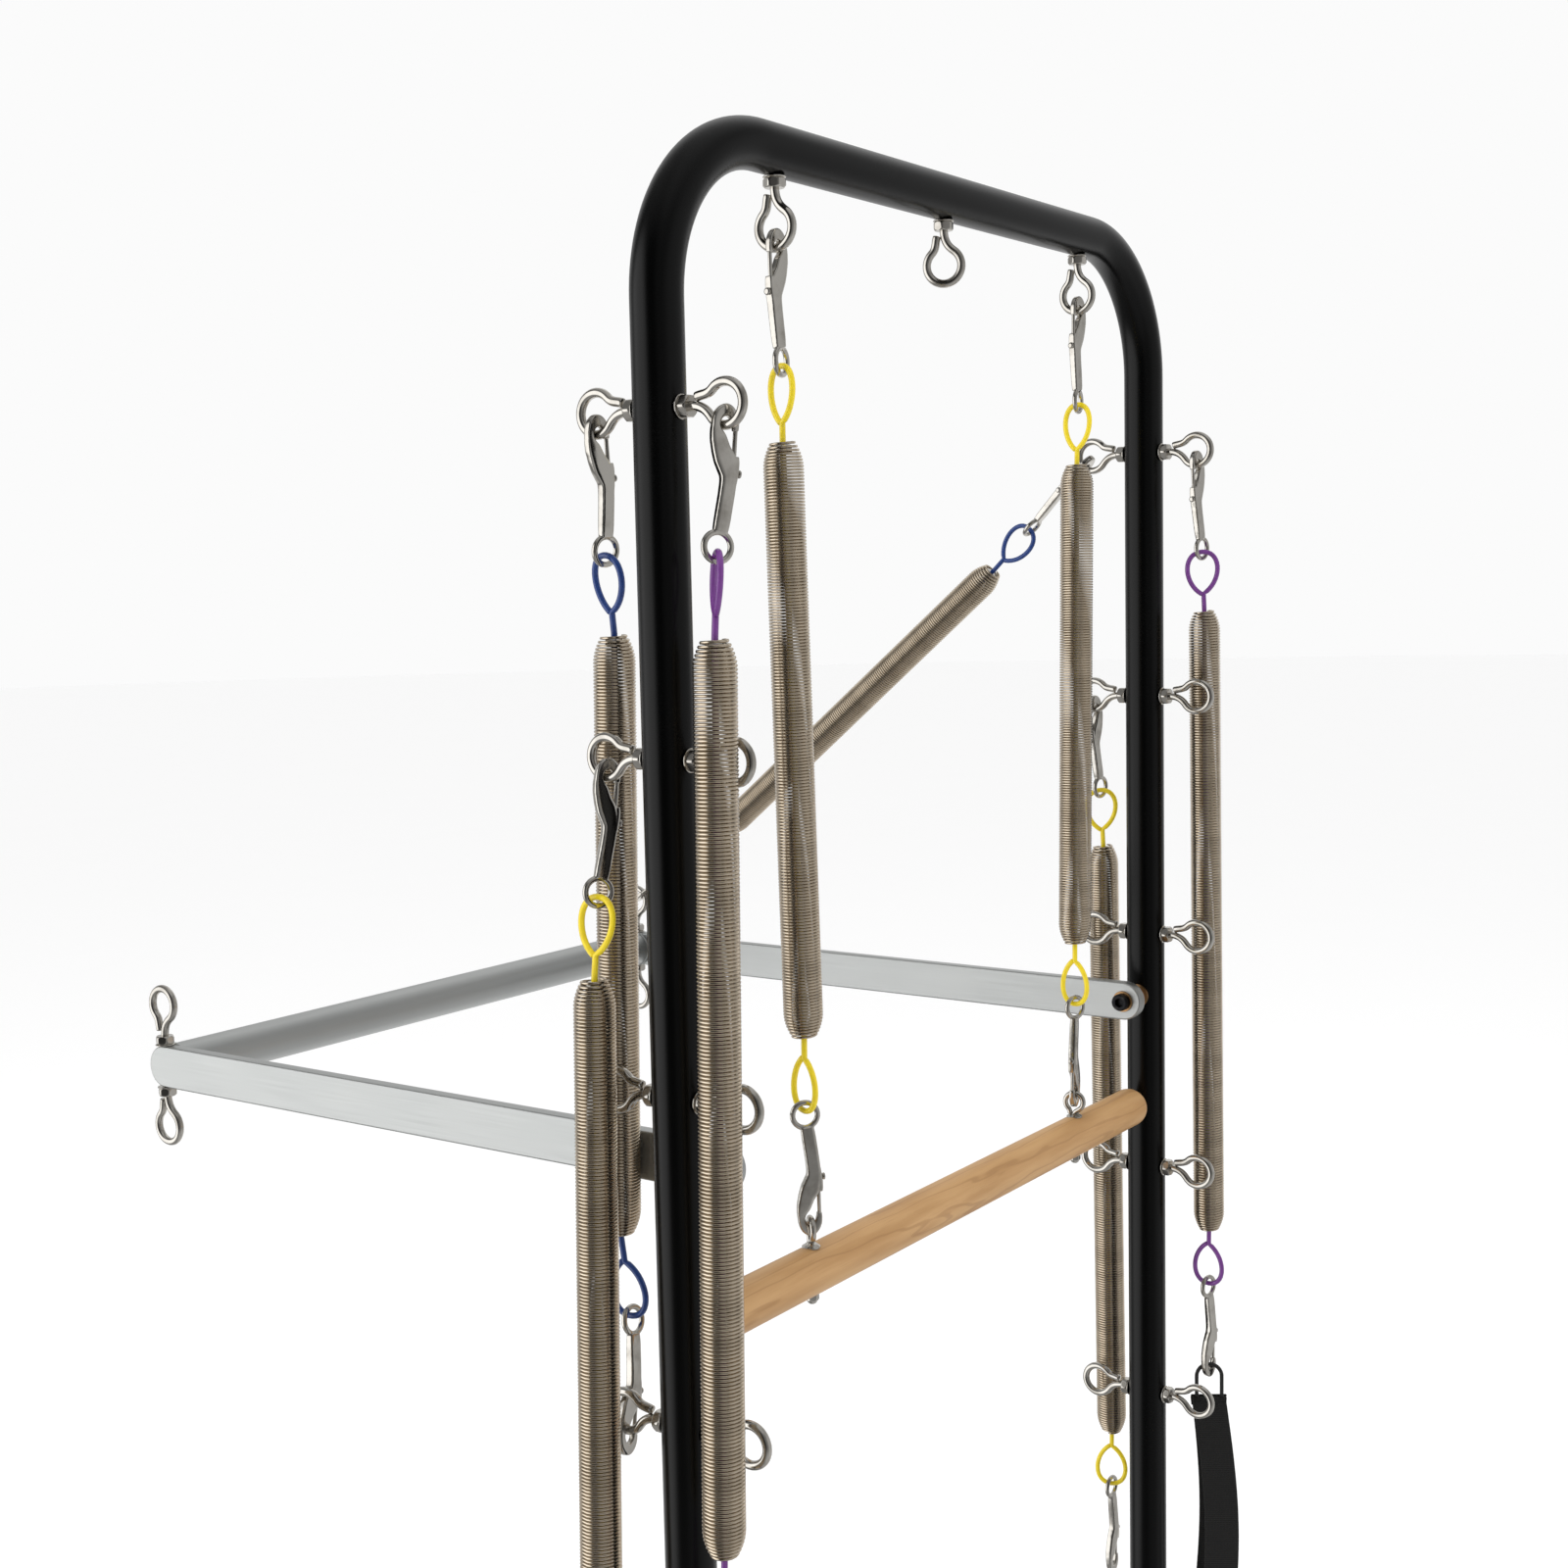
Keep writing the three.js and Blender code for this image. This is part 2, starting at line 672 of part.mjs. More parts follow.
function addChain(chain) {
  const { name, coat, upperWire, springTop, springBottom, lowerWire, turns } = chain;
  const lowerSlack = chain.lowerSlack ?? bearing;
  const lowerWay = chain.lowerWay ?? springBottom.clone().sub(lowerWire);
  const upperPlace = snapPlace(upperWire, springTop.clone().sub(upperWire), turns.upperHook, bearing);
  const lowerPlace = snapPlace(lowerWire, lowerWay, turns.lowerHook, lowerSlack);
  addPiece(`${name}_upper_snap`, snapBody(true, 0), nickel, upperPlace);
  const wire = cable(chain, snapEyeCentre(upperPlace), snapEyeCentre(lowerPlace));
  addPiece(`${name}_safety_cable`, wire, coat);
  const along = springBottom.clone().sub(springTop);
  addPiece(`${name}_spring`, springBody(along.length()), springSteel, placeAlong(springTop, along, 0));
  const lowerSnap = chain.thumbBolt ? openSnapBody() : snapBody(true, turns.lowerTwist ?? 0);
  addPiece(`${name}_lower_snap`, lowerSnap, nickel, lowerPlace);
  if (chain.thumbBolt) {
    addPiece(`${name}_thumb_bolt`, thumbBolt(), nickel, lowerPlace);
  }
}

// A chain that hangs free from a ring of an upright and passes outside the ring below it.
function hangingChain(side, row, front, length, rest, tilt) {
  const y = front * (tubeRadius + ringReach);
  const upperWire = point(side * uprightX, y, rowHeight(row) - ringRadius);
  const nextRingTop = rowHeight(row + 1) + ringOuter / 2;
  const clear = ringWire / 2 + springDiameter / 2 + rest;
  const leanTop = clear - tilt * (upperWire.z - connector - nextRingTop);
  const leanBottom = leanTop + length * Math.sin(tilt);
  const drop = Math.sqrt(connector ** 2 - leanTop ** 2);
  const springTop = upperWire.clone().add(point(side * leanTop, 0, -drop));
  const springBottom = springTop.clone().add(point(0, 0, -length * Math.cos(tilt)));
  springBottom.x = side * (uprightX + leanBottom);
  const lowerWire = springBottom.clone().add(point(0, 0, -connector));
  return { upperWire, springTop, springBottom, lowerWire };
}

function addLegChains() {
  for (const [side, label] of [[-1, 'left'], [1, 'right']]) {
    const tilt = side < 0 ? leftLegTilt : rightLegTilt;
    const chain = hangingChain(side, 1, -1, legSpringLength, springRest, tilt);
    addChain({
      ...chain,
      name: `leg_${label}`,
      coat: purpleCoat,
      turns: legTurns[label],
      lowerSlack: strapBearing,
      thumbBolt: true,
    });
    addPiece(`foot_strap_${label}`, footStrap(), webbing, placeAlong(chain.lowerWire, up, strapTurn));
  }
}

function addArmChains() {
  for (const [side, label] of [[-1, 'left'], [1, 'right']]) {
    const rest = side < 0 ? leftArmRest : springRest;
    const tilt = side < 0 ? leftArmTilt : rightArmTilt;
    addChain({
      ...hangingChain(side, 2, 1, armSpringLength, rest, tilt),
      name: `arm_${label}`,
      coat: yellowCoat,
      turns: armTurns[label],
    });
  }
}

// The spring that is clipped at both ends to the left upright, ready for use. Its lower hook
// takes the first ring that leaves room for the whole chain, goes round the bottom of that
// ring and leans past the top of it.
function addStoredChain() {
  const y = tubeRadius + ringReach;
  const upperWire = point(-uprightX, y, rowHeight(1) - ringRadius);
  const inset = Math.hypot(storedInset, storedSetbackTop);
  const drop = Math.sqrt(connector ** 2 - inset ** 2);
  const springTop = upperWire.clone().add(point(storedInset, storedSetbackTop, -drop));
  const setback = storedSetbackBottom - storedSetbackTop;
  const springDrop = Math.sqrt(storedSpringLength ** 2 - setback ** 2);
  const rowsDown = Math.ceil((drop + springDrop + hookToEye) / rowPitch);
  const lowerWire = point(-uprightX, y, rowHeight(1 + rowsDown) - ringRadius);
  addChain({
    name: 'stored',
    coat: blueCoat,
    upperWire,
    springTop,
    springBottom: springTop.clone().add(point(0, setback, -springDrop)),
    lowerWire,
    turns: storedTurns,
    lowerWay: point(storedSnapLean, storedSnapSetback, 1),
    lowerSlack: bearing + storedSlack,
  });
}

// The spring that runs from the right upright to the push-through bar and holds it up. It is
// the straight middle of a chain whose two ends sag a little under their own weight.
function addHoldUpChain() {
  const sag = (way, angle) => way.clone().applyAxisAngle(point(1, 0, 0), angle);
  const ringCentre = point(uprightX, tubeRadius + ringReach, rowHeight(1));
  const cornerRing = point(armCentreX, cornerY, pivotHeight + armHeight / 2 + ringReach);
  const span = cornerRing.clone().sub(ringCentre);
  const inRingPlane = point(0, span.y, span.z).normalize();
  const upperWire = ringCentre.addScaledVector(sag(inRingPlane, -holdUpSag), ringRadius);
  const lowerWire = cornerRing.addScaledVector(sag(inRingPlane, holdUpSag), -ringRadius);
  const along = lowerWire.clone().sub(upperWire).normalize();
  addChain({
    name: 'hold_up',
    coat: blueCoat,
    upperWire,
    springTop: upperWire.clone().addScaledVector(sag(along, -holdUpSag), connector),
    springBottom: lowerWire.clone().addScaledVector(sag(along, holdUpSag), -connector),
    lowerWire,
    turns: holdUpTurns,
  });
}

// Roll-down bar and its two springs

const barEndShares = [0.25, 0.5, 0.75, 1];
const rollWire = rollRingWire / 2 + rollHookGap;
const rollConnector = hookToEye - rollWire + eyeToSpring;
const rollUpperConnector = connector - rollLoopDraw;

function rollBar() {
  const radius = rollBarDiameter / 2;
  const half = rollBarLength / 2;
  const roundEnd = barEndShares.map((share) => {
    const angle = share * Math.PI / 2;
    return [radius * Math.sin(angle), half - radius + radius * Math.cos(angle)];
  });
  const upper = [[0, half], ...roundEnd];
  const lower = upper.map(([across, along]) => [across, -along]);
  const points = [...lower, ...upper.reverse()].map(([across, along]) => new THREE.Vector2(across, along));
  const geometry = new THREE.LatheGeometry(points, tubeSides);
  geometry.rotateX(Math.PI / 2);
  const eyeHole = bar(holeFor(rollRingWire / 2, wireSides), -rollBarDiameter, rollBarDiameter, wireSides);
  let body = solid(geometry);
  for (const side of [-1, 1]) {
    const crossways = placeAlong(point(0, 0, side * rollEyeSpacing), point(0, 1, 0), 0);
    body = body.subtract(moved(eyeHole, crossways));
  }
  return body;
}

function rollEye() {
  const eye = eyeBolt({
    wire: rollRingWire,
    radius: rollRingRadius,
    reach: rollRingReach,
    tail: rollBarDiameter + rollTailLength,
    nut: rollCollarAcross,
    nutHeight: rollCollarThickness,
  });
  const nutTop = -rollBarDiameter - gap;
  return eye.add(bar(hexagonRadius(rollNutAcross), nutTop - rollNutThickness, nutTop, wireSides));
}

// Each chain is a straight line from its ring under the top bar to its eye on the wooden bar.
function addRollDown() {
  let barTop = 0;
  const chainLength = rollUpperConnector + rollSpringLength + rollConnector;
  const inward = (topEyeSpacing - rollEyeSpacing) / chainLength;
  const downward = Math.sqrt(1 - inward ** 2);
  for (const [side, label] of [[-1, 'left'], [1, 'right']]) {
    const turns = rollTurns[label];
    const upperWire = point(side * topEyeSpacing, 0, topBarUnderside - ringReach - ringRadius);
    const along = point(-side * inward, 0, -downward);
    const springTop = upperWire.clone().addScaledVector(along, rollUpperConnector);
    const springBottom = springTop.clone().addScaledVector(along, rollSpringLength);
    const lowerWire = springBottom.clone().addScaledVector(along, rollConnector);
    addChain({
      name: `roll_${label}`,
      coat: yellowCoat,
      upperWire,
      springTop,
      springBottom,
      lowerWire,
      turns: { ...turns, lowerHook: turns.ring + side * Math.PI / 2 },
      lowerSlack: rollWire,
      loopWidth: rollLoopWidth,
    });
    barTop = lowerWire.z - rollRingRadius - rollRingReach;
    const foot = point(side * rollEyeSpacing, 0, barTop);
    addPiece(`roll_bar_eye_${label}`, rollEye(), nickel, placeAlong(foot, up, turns.ring));
  }
  const centre = point(0, 0, barTop - rollBarDiameter / 2);
  addPiece('roll_down_bar', rollBar(), maple, placeAlong(centre, point(1, 0, 0), Math.PI / 2));
}

// Foot straps, drawn from the hook's bearing down, with the webbing's width along local X

// Shares of the strap's half width and drop down one side of its loop.
const strapSideShares = [[0.8, 0.45], [1, 0.75]];
const strapToeShare = 0.7;
const strapHeelShare = 0.4;
const cordArchShares = [0, 0.33, 0.67, 1];

function footStrap() {
  const cordSide = strapCordWidth / 2;
  const corner = strapCordDiameter;
  const cordLow = -strapCordLength;
  const arch = cordArchShares.map((share) => {
    const angle = share * Math.PI / 2;
    return point(cordSide * Math.sin(angle), 0, cordSide * (Math.cos(angle) - 1));
  });
  const otherArch = arch.slice(1).reverse().map((station) => point(-station.x, 0, station.z));
  const cord = rodAlong([
    ...arch,
    point(cordSide, 0, cordLow + corner),
    point(cordSide - corner, 0, cordLow),
    point(corner - cordSide, 0, cordLow),
    point(-cordSide, 0, cordLow + corner),
    ...otherArch,
    point(-gap, 0, 0),
  ], strapCordDiameter / 2, wireSides);
  const seam = webbingThickness + strapCordDiameter / 2;
  const top = cordLow + seam;
  const outline = (inset, head) => {
    const half = strapBulge / 2 - inset;
    const neck = seam - inset;
    const bottom = top - strapDrop + inset;
    const side = [
      [neck, head - neck / 2],
      [neck, head - 2 * neck],
      ...strapSideShares.map(([across, along]) => [half * across, top - strapDrop * along]),
      [half * strapToeShare, bottom + half * strapHeelShare],
    ];
    const otherSide = side.map(([across, height]) => [-across, height]).reverse();
    const corners = [[0, head], ...side, [0, bottom], ...otherSide];
    return corners.map(([across, height]) => new THREE.Vector2(across, height)).reverse();
  };
  const shape = new THREE.Shape(outline(0, top));
  shape.holes.push(new THREE.Path(outline(webbingThickness, cordLow - 2 * seam)));
  const geometry = new THREE.ExtrudeGeometry(shape, { depth: webbingWidth, bevelEnabled: false });
  geometry.translate(0, 0, -webbingWidth / 2);
  geometry.applyMatrix4(new THREE.Matrix4().makeBasis(point(0, 1, 0), up, point(1, 0, 0)));
  return join([solid(geometry), cord]);
}

addPiece('frame_tube', frameTube(), blackPaint);
addFrameEyes();
addPushBar();
addLegChains();
addArmChains();
addStoredChain();
addHoldUpChain();
addRollDown();
console.log(`least gap between spring curls: ${leastCurlGap.toFixed(2)} mm`);

export default tower;
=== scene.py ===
import math

import bpy
import numpy as np
from mathutils import Matrix, Vector


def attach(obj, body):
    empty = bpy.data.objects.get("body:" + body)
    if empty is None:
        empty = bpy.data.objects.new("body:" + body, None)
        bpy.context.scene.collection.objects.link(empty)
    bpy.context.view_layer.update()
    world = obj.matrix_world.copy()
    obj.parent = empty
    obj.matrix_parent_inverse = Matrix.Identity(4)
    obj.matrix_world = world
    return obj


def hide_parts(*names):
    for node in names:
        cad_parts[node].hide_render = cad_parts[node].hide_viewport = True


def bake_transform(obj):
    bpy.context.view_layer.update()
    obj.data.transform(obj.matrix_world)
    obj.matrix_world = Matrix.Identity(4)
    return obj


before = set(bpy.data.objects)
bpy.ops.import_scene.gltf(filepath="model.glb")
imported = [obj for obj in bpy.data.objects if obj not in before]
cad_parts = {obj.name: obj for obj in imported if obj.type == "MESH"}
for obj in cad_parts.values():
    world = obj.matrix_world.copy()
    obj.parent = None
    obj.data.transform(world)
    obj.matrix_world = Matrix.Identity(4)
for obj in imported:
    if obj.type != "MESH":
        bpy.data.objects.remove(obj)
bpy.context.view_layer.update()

# The looks of a pilates tower unit. Sizes are in millimetres, and meshes are made in metres.
mm = 0.001
up = Vector((0, 0, 1))
quarter = math.pi / 2

# What the hanging pieces take from the tower
tower = {
    "uprightX": 390, "tube": 38, "wall": 2.5, "bend": 122, "topRow": 1400, "rise": 197,
    "rowPitch": 243.5, "rows": 5, "topEyeSpacing": 246,
}
tubeRadius = tower["tube"] / 2
topBarHeight = tower["topRow"] + tower["rise"]
topBarUnderside = topBarHeight - tubeRadius


def rowHeight(row):
    return tower["topRow"] - (row - 1) * tower["rowPitch"]


# Camera: the photograph's place, angle and lens
view = {
    "place": (-1505.7, -882.3, 1278.1), "azimuth": -54.898, "elevation": 5.653, "roll": -1.245,
    "lens": 46.57, "sensor": 36, "clipEnd": 60,
}


def makeCamera():
    azimuth, elevation = math.radians(view["azimuth"]), math.radians(view["elevation"])
    back = Vector((
        math.sin(azimuth) * math.cos(elevation),
        -math.cos(azimuth) * math.cos(elevation),
        math.sin(elevation),
    ))
    right = up.cross(back).normalized()
    turn = Matrix.Rotation(math.radians(view["roll"]), 3, back)
    levelUp = back.cross(right)
    columns = Matrix((turn @ right, turn @ levelUp, back)).transposed()
    data = bpy.data.cameras.new("photoView")
    data.lens = view["lens"]
    data.sensor_width = view["sensor"]
    data.clip_end = view["clipEnd"]
    camera = bpy.data.objects.new("photoView", data)
    camera.matrix_world = Matrix.Translation(Vector(view["place"]) * mm) @ columns.to_4x4()
    bpy.context.scene.collection.objects.link(camera)
    bpy.context.scene.camera = camera


makeCamera()
print("camera placed")


# Shader maths: a sum on a wire adds its Math nodes
class Wire:
    def __init__(self, tree, socket=None):
        self.tree = tree
        self.socket = socket

    def node(self, kind, settings, sockets, output=0):
        made = self.tree.nodes.new(kind)
        for name, value in settings.items():
            if name == "stops":
                ramp = made.color_ramp
                for index, (position, colour) in enumerate(value):
                    stop = ramp.elements[index] if index < 2 else ramp.elements.new(position)
                    stop.position = position
                    stop.color = (*colour, 1)
            else:
                setattr(made, name, value)
        for name, value in sockets.items():
            if isinstance(value, Wire):
                self.tree.links.new(value.socket, made.inputs[name])
            else:
                made.inputs[name].default_value = value
        return Wire(self.tree, made.outputs[output])

    def maths(self, operation, first, second=0.0):
        return self.node("ShaderNodeMath", {"operation": operation}, {0: first, 1: second})

    def __add__(self, other):
        return self.maths("ADD", self, other)

    def __radd__(self, other):
        return self.maths("ADD", other, self)

    def __sub__(self, other):
        return self.maths("SUBTRACT", self, other)

    def __rsub__(self, other):
        return self.maths("SUBTRACT", other, self)

    def __mul__(self, other):
        return self.maths("MULTIPLY", self, other)

    def __rmul__(self, other):
        return self.maths("MULTIPLY", other, self)

    def sine(self):
        return self.maths("SINE", self)

    # 0 below low, 1 above high and a smooth step between
    def step(self, low, high):
        settings = {"interpolation_type": "SMOOTHSTEP"}
        sockets = {"Value": self, "From Min": low, "From Max": high}
        return self.node("ShaderNodeMapRange", settings, sockets)

    # The second colour where this wire is 1
    def mix(self, first, second):
        shown = [x if isinstance(x, Wire) else (*x, 1) for x in (first, second)]
        return self.node("ShaderNodeMix", {"data_type": "RGBA"}, {0: self, 6: shown[0], 7: shown[1]}, 2)

    def scaled(self, x, y, z):
        return self.node("ShaderNodeVectorMath", {"operation": "MULTIPLY"}, {0: self, 1: (x, y, z)})

    def part(self, axis):
        return self.node("ShaderNodeSeparateXYZ", {}, {0: self}, axis)

    def noise(self, scale, detail=2.0, roughness=0.5):
        sockets = {"Vector": self, "Scale": scale, "Detail": detail, "Roughness": roughness}
        return self.node("ShaderNodeTexNoise", {}, sockets)


class Finish:
    def __init__(self, name, fixed):
        self.material = bpy.data.materials.new(name)
        self.material.use_nodes = True
        tree = self.material.node_tree
        tree.nodes.clear()
        output = tree.nodes.new("ShaderNodeOutputMaterial")
        self.shader = tree.nodes.new("ShaderNodeBsdfPrincipled")
        tree.links.new(self.shader.outputs[0], output.inputs["Surface"])
        for socket, value in fixed.items():
            self.shader.inputs[socket].default_value = value
        self.wire = Wire(tree)
        # Metres in the row frame, and millimetres along and around a piece laid out straight
        self.place = self.wire.node("ShaderNodeTexCoord", {}, {}, "Object")
        self.laid = self.wire.node("ShaderNodeAttribute", {"attribute_name": "laidOut"}, {}, "Vector")

    def feed(self, socket, wire):
        self.wire.tree.links.new(wire.socket, self.shader.inputs[socket])

    def bump(self, height, strength, distance):
        sockets = {"Height": height, "Strength": strength, "Distance": distance * mm}
        self.feed("Normal", self.wire.node("ShaderNodeBump", {}, sockets))


# Black powder coat: fine orange peel, a soft sheen that varies a little, faint dust
def blackPaint():
    finish = Finish("blackPaint", {"Metallic": 0.0, "Specular IOR Level": 0.2})
    cloud = finish.place.noise(7, 3)
    speck = finish.place.noise(520, 2)
    peel = finish.place.noise(650, 1)
    dust = cloud.step(0.52, 0.72) * speck.step(0.5, 0.7)
    finish.feed("Base Color", (dust * 0.4).mix((0.0007, 0.0008, 0.0008), (0.004, 0.004, 0.004)))
    finish.feed("Roughness", 0.2 + cloud * 0.08 + speck * 0.04)
    finish.bump(peel + speck * 0.4, 0.25, 0.06)
    return finish.material


# Nickel plate over cast or bent steel, smoother where it is rubbed
def nickel():
    finish = Finish("nickel", {"Metallic": 1.0})
    cast = finish.place.noise(240, 3)
    grain = finish.place.noise(1100, 2)
    tarnish = finish.place.noise(46, 3, 0.6).step(0.42, 0.75)
    finish.feed("Base Color", tarnish.mix((0.60, 0.575, 0.53), (0.42, 0.395, 0.355)))
    finish.feed("Roughness", 0.1 + tarnish * 0.1 + grain * 0.06)
    finish.bump(cast + grain * 0.2, 0.12, 0.1)
    return finish.material


# Spring wire: drawn steel with a warm tint that drifts along the wire
def springSteel():
    finish = Finish("springSteel", {"Metallic": 1.0})
    drift = finish.laid.scaled(0.0015, 0.1, 0.1).noise(1, 2).step(0.35, 0.7)
    drawn = finish.laid.scaled(0.02, 2.2, 2.2).noise(1, 2)
    finish.feed("Base Color", drift.mix((0.66, 0.565, 0.44), (0.56, 0.475, 0.365)))
    finish.feed("Roughness", 0.13 + drawn * 0.08)
    finish.bump(drawn, 0.12, 0.05)
    return finish.material


# Satin aluminium, brushed along the arms
def aluminium(name, alongX, alongY):
    finish = Finish(name, {"Metallic": 1.0})
    brushed = finish.place.scaled(alongX, alongY, 1.0).noise(950, 2)
    cloud = finish.place.noise(9, 2)
    finish.feed("Base Color", cloud.mix((0.50, 0.515, 0.51), (0.56, 0.57, 0.56)))
    finish.feed("Roughness", 0.4 + brushed * 0.14)
    finish.bump(brushed, 0.12, 0.05)
    return finish.material


# Maple dowel: golden, with fine pores along it, soft growth lines and a satin lacquer
def maple():
    finish = Finish("maple", {"Coat Weight": 0.12, "Coat Roughness": 0.3, "Specular IOR Level": 0.3})
    bend = finish.laid.scaled(0.004, 0.03, 0.03).noise(1, 3)
    across = finish.laid.part("Y") * 0.11 + finish.laid.part("Z") * 0.045
    rings = (across * 5 + bend * 22 + finish.laid.part("X") * 0.005).sine()
    line = rings.step(0.86, 1.0)
    pores = finish.laid.scaled(0.03, 1.4, 1.4).noise(1, 4, 0.7)
    fleck = pores.step(0.54, 0.76)
    cloud = finish.laid.scaled(0.008, 0.09, 0.09).noise(1, 3)
    body = cloud.step(0.3, 0.7).mix((0.51, 0.305, 0.135), (0.41, 0.228, 0.09))
    shaded = (line * 0.4).mix(body, (0.27, 0.135, 0.05))
    finish.feed("Base Color", (fleck * 0.5).mix(shaded, (0.31, 0.165, 0.065)))
    finish.feed("Roughness", 0.45 + pores * 0.16)
    finish.bump(pores + line * 0.3, 0.18, 0.06)
    return finish.material


# Coloured vinyl over a stranded cable, whose lay shows through faintly
def vinyl(name, colour, deep):
    finish = Finish(name, {"Metallic": 0.0, "Coat Weight": 0.35, "Coat Roughness": 0.12})
    angle = finish.wire.maths("ARCTAN2", finish.laid.part("Z"), finish.laid.part("Y"))
    lay = (finish.laid.part("X") * 0.42 + angle * 6).sine()
    mottle = finish.laid.scaled(0.12, 0.4, 0.4).noise(1, 3)
    finish.feed("Base Color", (mottle.step(0.4, 0.75) * 0.6 + lay * 0.06).mix(colour, deep))
    finish.feed("Roughness", 0.26 + mottle * 0.12)
    finish.bump(lay * 0.25 + mottle, 0.25, 0.08)
    return finish.material


# Black nylon webbing: ribs across it and a fine diagonal in each rib
def webbing():
    finish = Finish("webbing", {"Metallic": 0.0, "Sheen Weight": 0.06, "Sheen Roughness": 0.5})
    along, across = finish.laid.part("X"), finish.laid.part("Y")
    ribs = (along * 2.9).sine()
    yarn = (across * 4.2 + (along * 2.9).sine() * 1.1).sine()
    weave = ribs * 0.6 + yarn * 0.4
    fuzz = finish.laid.noise(2.2, 2)
    shade = weave * 0.5 + fuzz * 0.5
    finish.feed("Base Color", shade.mix((0.0028, 0.0027, 0.0025), (0.013, 0.0125, 0.0115)))
    finish.feed("Roughness", 0.72 + fuzz * 0.2)
    finish.bump(weave + fuzz * 0.4, 0.7, 0.3)
    return finish.material


# Braided black cord
def cordBraid():
    finish = Finish("cordBraid", {"Metallic": 0.0, "Sheen Weight": 0.08, "Sheen Roughness": 0.5})
    angle = finish.wire.maths("ARCTAN2", finish.laid.part("Z"), finish.laid.part("Y"))
    along = finish.laid.part("X") * 1.9
    braid = (along + angle * 4).sine() * (along - angle * 4).sine()
    finish.feed("Base Color", braid.mix((0.006, 0.006, 0.006), (0.022, 0.021, 0.02)))
    finish.feed("Roughness", 0.6 + braid * 0.1)
    finish.bump(braid, 0.6, 0.25)
    return finish.material


# Black oxide on steel, thin at the edges
def blackOxide():
    finish = Finish("blackOxide", {"Metallic": 1.0})
    patch = finish.place.noise(160, 3)
    finish.feed("Base Color", patch.step(0.5, 0.8).mix((0.022, 0.022, 0.024), (0.07, 0.066, 0.06)))
    finish.feed("Roughness", 0.34 + patch * 0.18)
    finish.bump(patch, 0.2, 0.06)
    return finish.material


def bronze():
    finish = Finish("bronze", {"Metallic": 1.0})
    turned = finish.place.noise(700, 2)
    stain = finish.place.noise(90, 3)
    finish.feed("Base Color", stain.mix((0.60, 0.36, 0.17), (0.42, 0.24, 0.11)))
    finish.feed("Roughness", 0.28 + turned * 0.16)
    finish.bump(turned, 0.15, 0.05)
    return finish.material


# Each finish with the record's material slot that it belongs to
paint = (blackPaint(), "frame_paint")
plating = (nickel(), "nickel")
coilWire = (springSteel(), "spring_steel")
brushedArm = (aluminium("brushedArm", 1.0, 0.012), "aluminium")
brushedTube = (aluminium("brushedTube", 0.012, 1.0), "aluminium")
wood = (maple(), "maple")
yellowCoat = (vinyl("yellowVinyl", (0.82, 0.64, 0.008), (0.70, 0.50, 0.005)), "yellow_cable")
blueCoat = (vinyl("blueVinyl", (0.008, 0.04, 0.19), (0.005, 0.024, 0.13)), "blue_cable")
purpleCoat = (vinyl("purpleVinyl", (0.155, 0.035, 0.225), (0.11, 0.022, 0.17)), "purple_cable")
strapWeb = (webbing(), "webbing")
strapCord = (cordBraid(), "webbing")
darkBolt = (blackOxide(), "bolt_steel")
bushMetal = (bronze(), "bolt_steel")
print("finishes made")


# Forms: points, faces and, for each point, its place on the piece laid out straight
def smoothRoute(points, spans):
    # A curve through the points, which may carry widths too
    given = np.array(points, float)
    before = np.vstack([2 * given[:1] - given[1:2], given[:-2]])
    after = np.vstack([given[2:], 2 * given[-1:] - given[-2:-1]])
    made = []
    for p0, p1, p2, p3 in zip(before, given[:-1], given[1:], after):
        for step in range(spans):
            t = step / spans
            made.append(
                p1 + (p2 - p0) * t / 2 + (2 * p0 - 5 * p1 + 4 * p2 - p3) * t**2 / 2
                + (3 * p1 - p0 - 3 * p2 + p3) * t**3 / 2
            )
    made.append(given[-1])
    return np.array(made)


def bezier(corners, count):
    made = []
    for t in np.linspace(0, 1, count):
        weights = ((1 - t) ** 3, 3 * (1 - t) ** 2 * t, 3 * (1 - t) * t**2, t**3)
        made.append(sum((corner * weight for corner, weight in zip(corners, weights)), Vector()))
    return made


def skinned(rings, laid, closed):
    # Joins rings of points into a skin, with a flat cap at each end unless it closes on itself
    count, sides = rings.shape[:2]
    faces = []
    for ring in range(count if closed else count - 1):
        following = (ring + 1) % count
        for side in range(sides):
            beside = (side + 1) % sides
            faces.append((
                ring * sides + side, ring * sides + beside,
                following * sides + beside, following * sides + side,
            ))
    if not closed:
        faces.append(tuple(range(sides - 1, -1, -1)))
        faces.append(tuple(range((count - 1) * sides, count * sides)))
    return rings.reshape(-1, 3), faces, laid.reshape(-1, 3)


def circleAngles(sides):
    return np.linspace(0, 2 * math.pi, sides, endpoint=False)


def outwardAt(angle):
    return np.stack([np.cos(angle), np.sin(angle), np.zeros_like(angle)], 1)


def unitRows(rows):
    return rows / np.linalg.norm(rows, axis=1)[:, None]


def headings(route, closed=False):
    # The direction of a route at each of its points
    steps = np.roll(route, -1, 0) - np.roll(route, 1, 0) if closed else np.gradient(route, axis=0)
    return unitRows(steps)


def lengthsAlong(route):
    return np.concatenate([[0], np.cumsum(np.linalg.norm(np.diff(route, axis=0), axis=1))])


# A direction that no wire starts along
skew = (0.31, 0.52, 0.8)


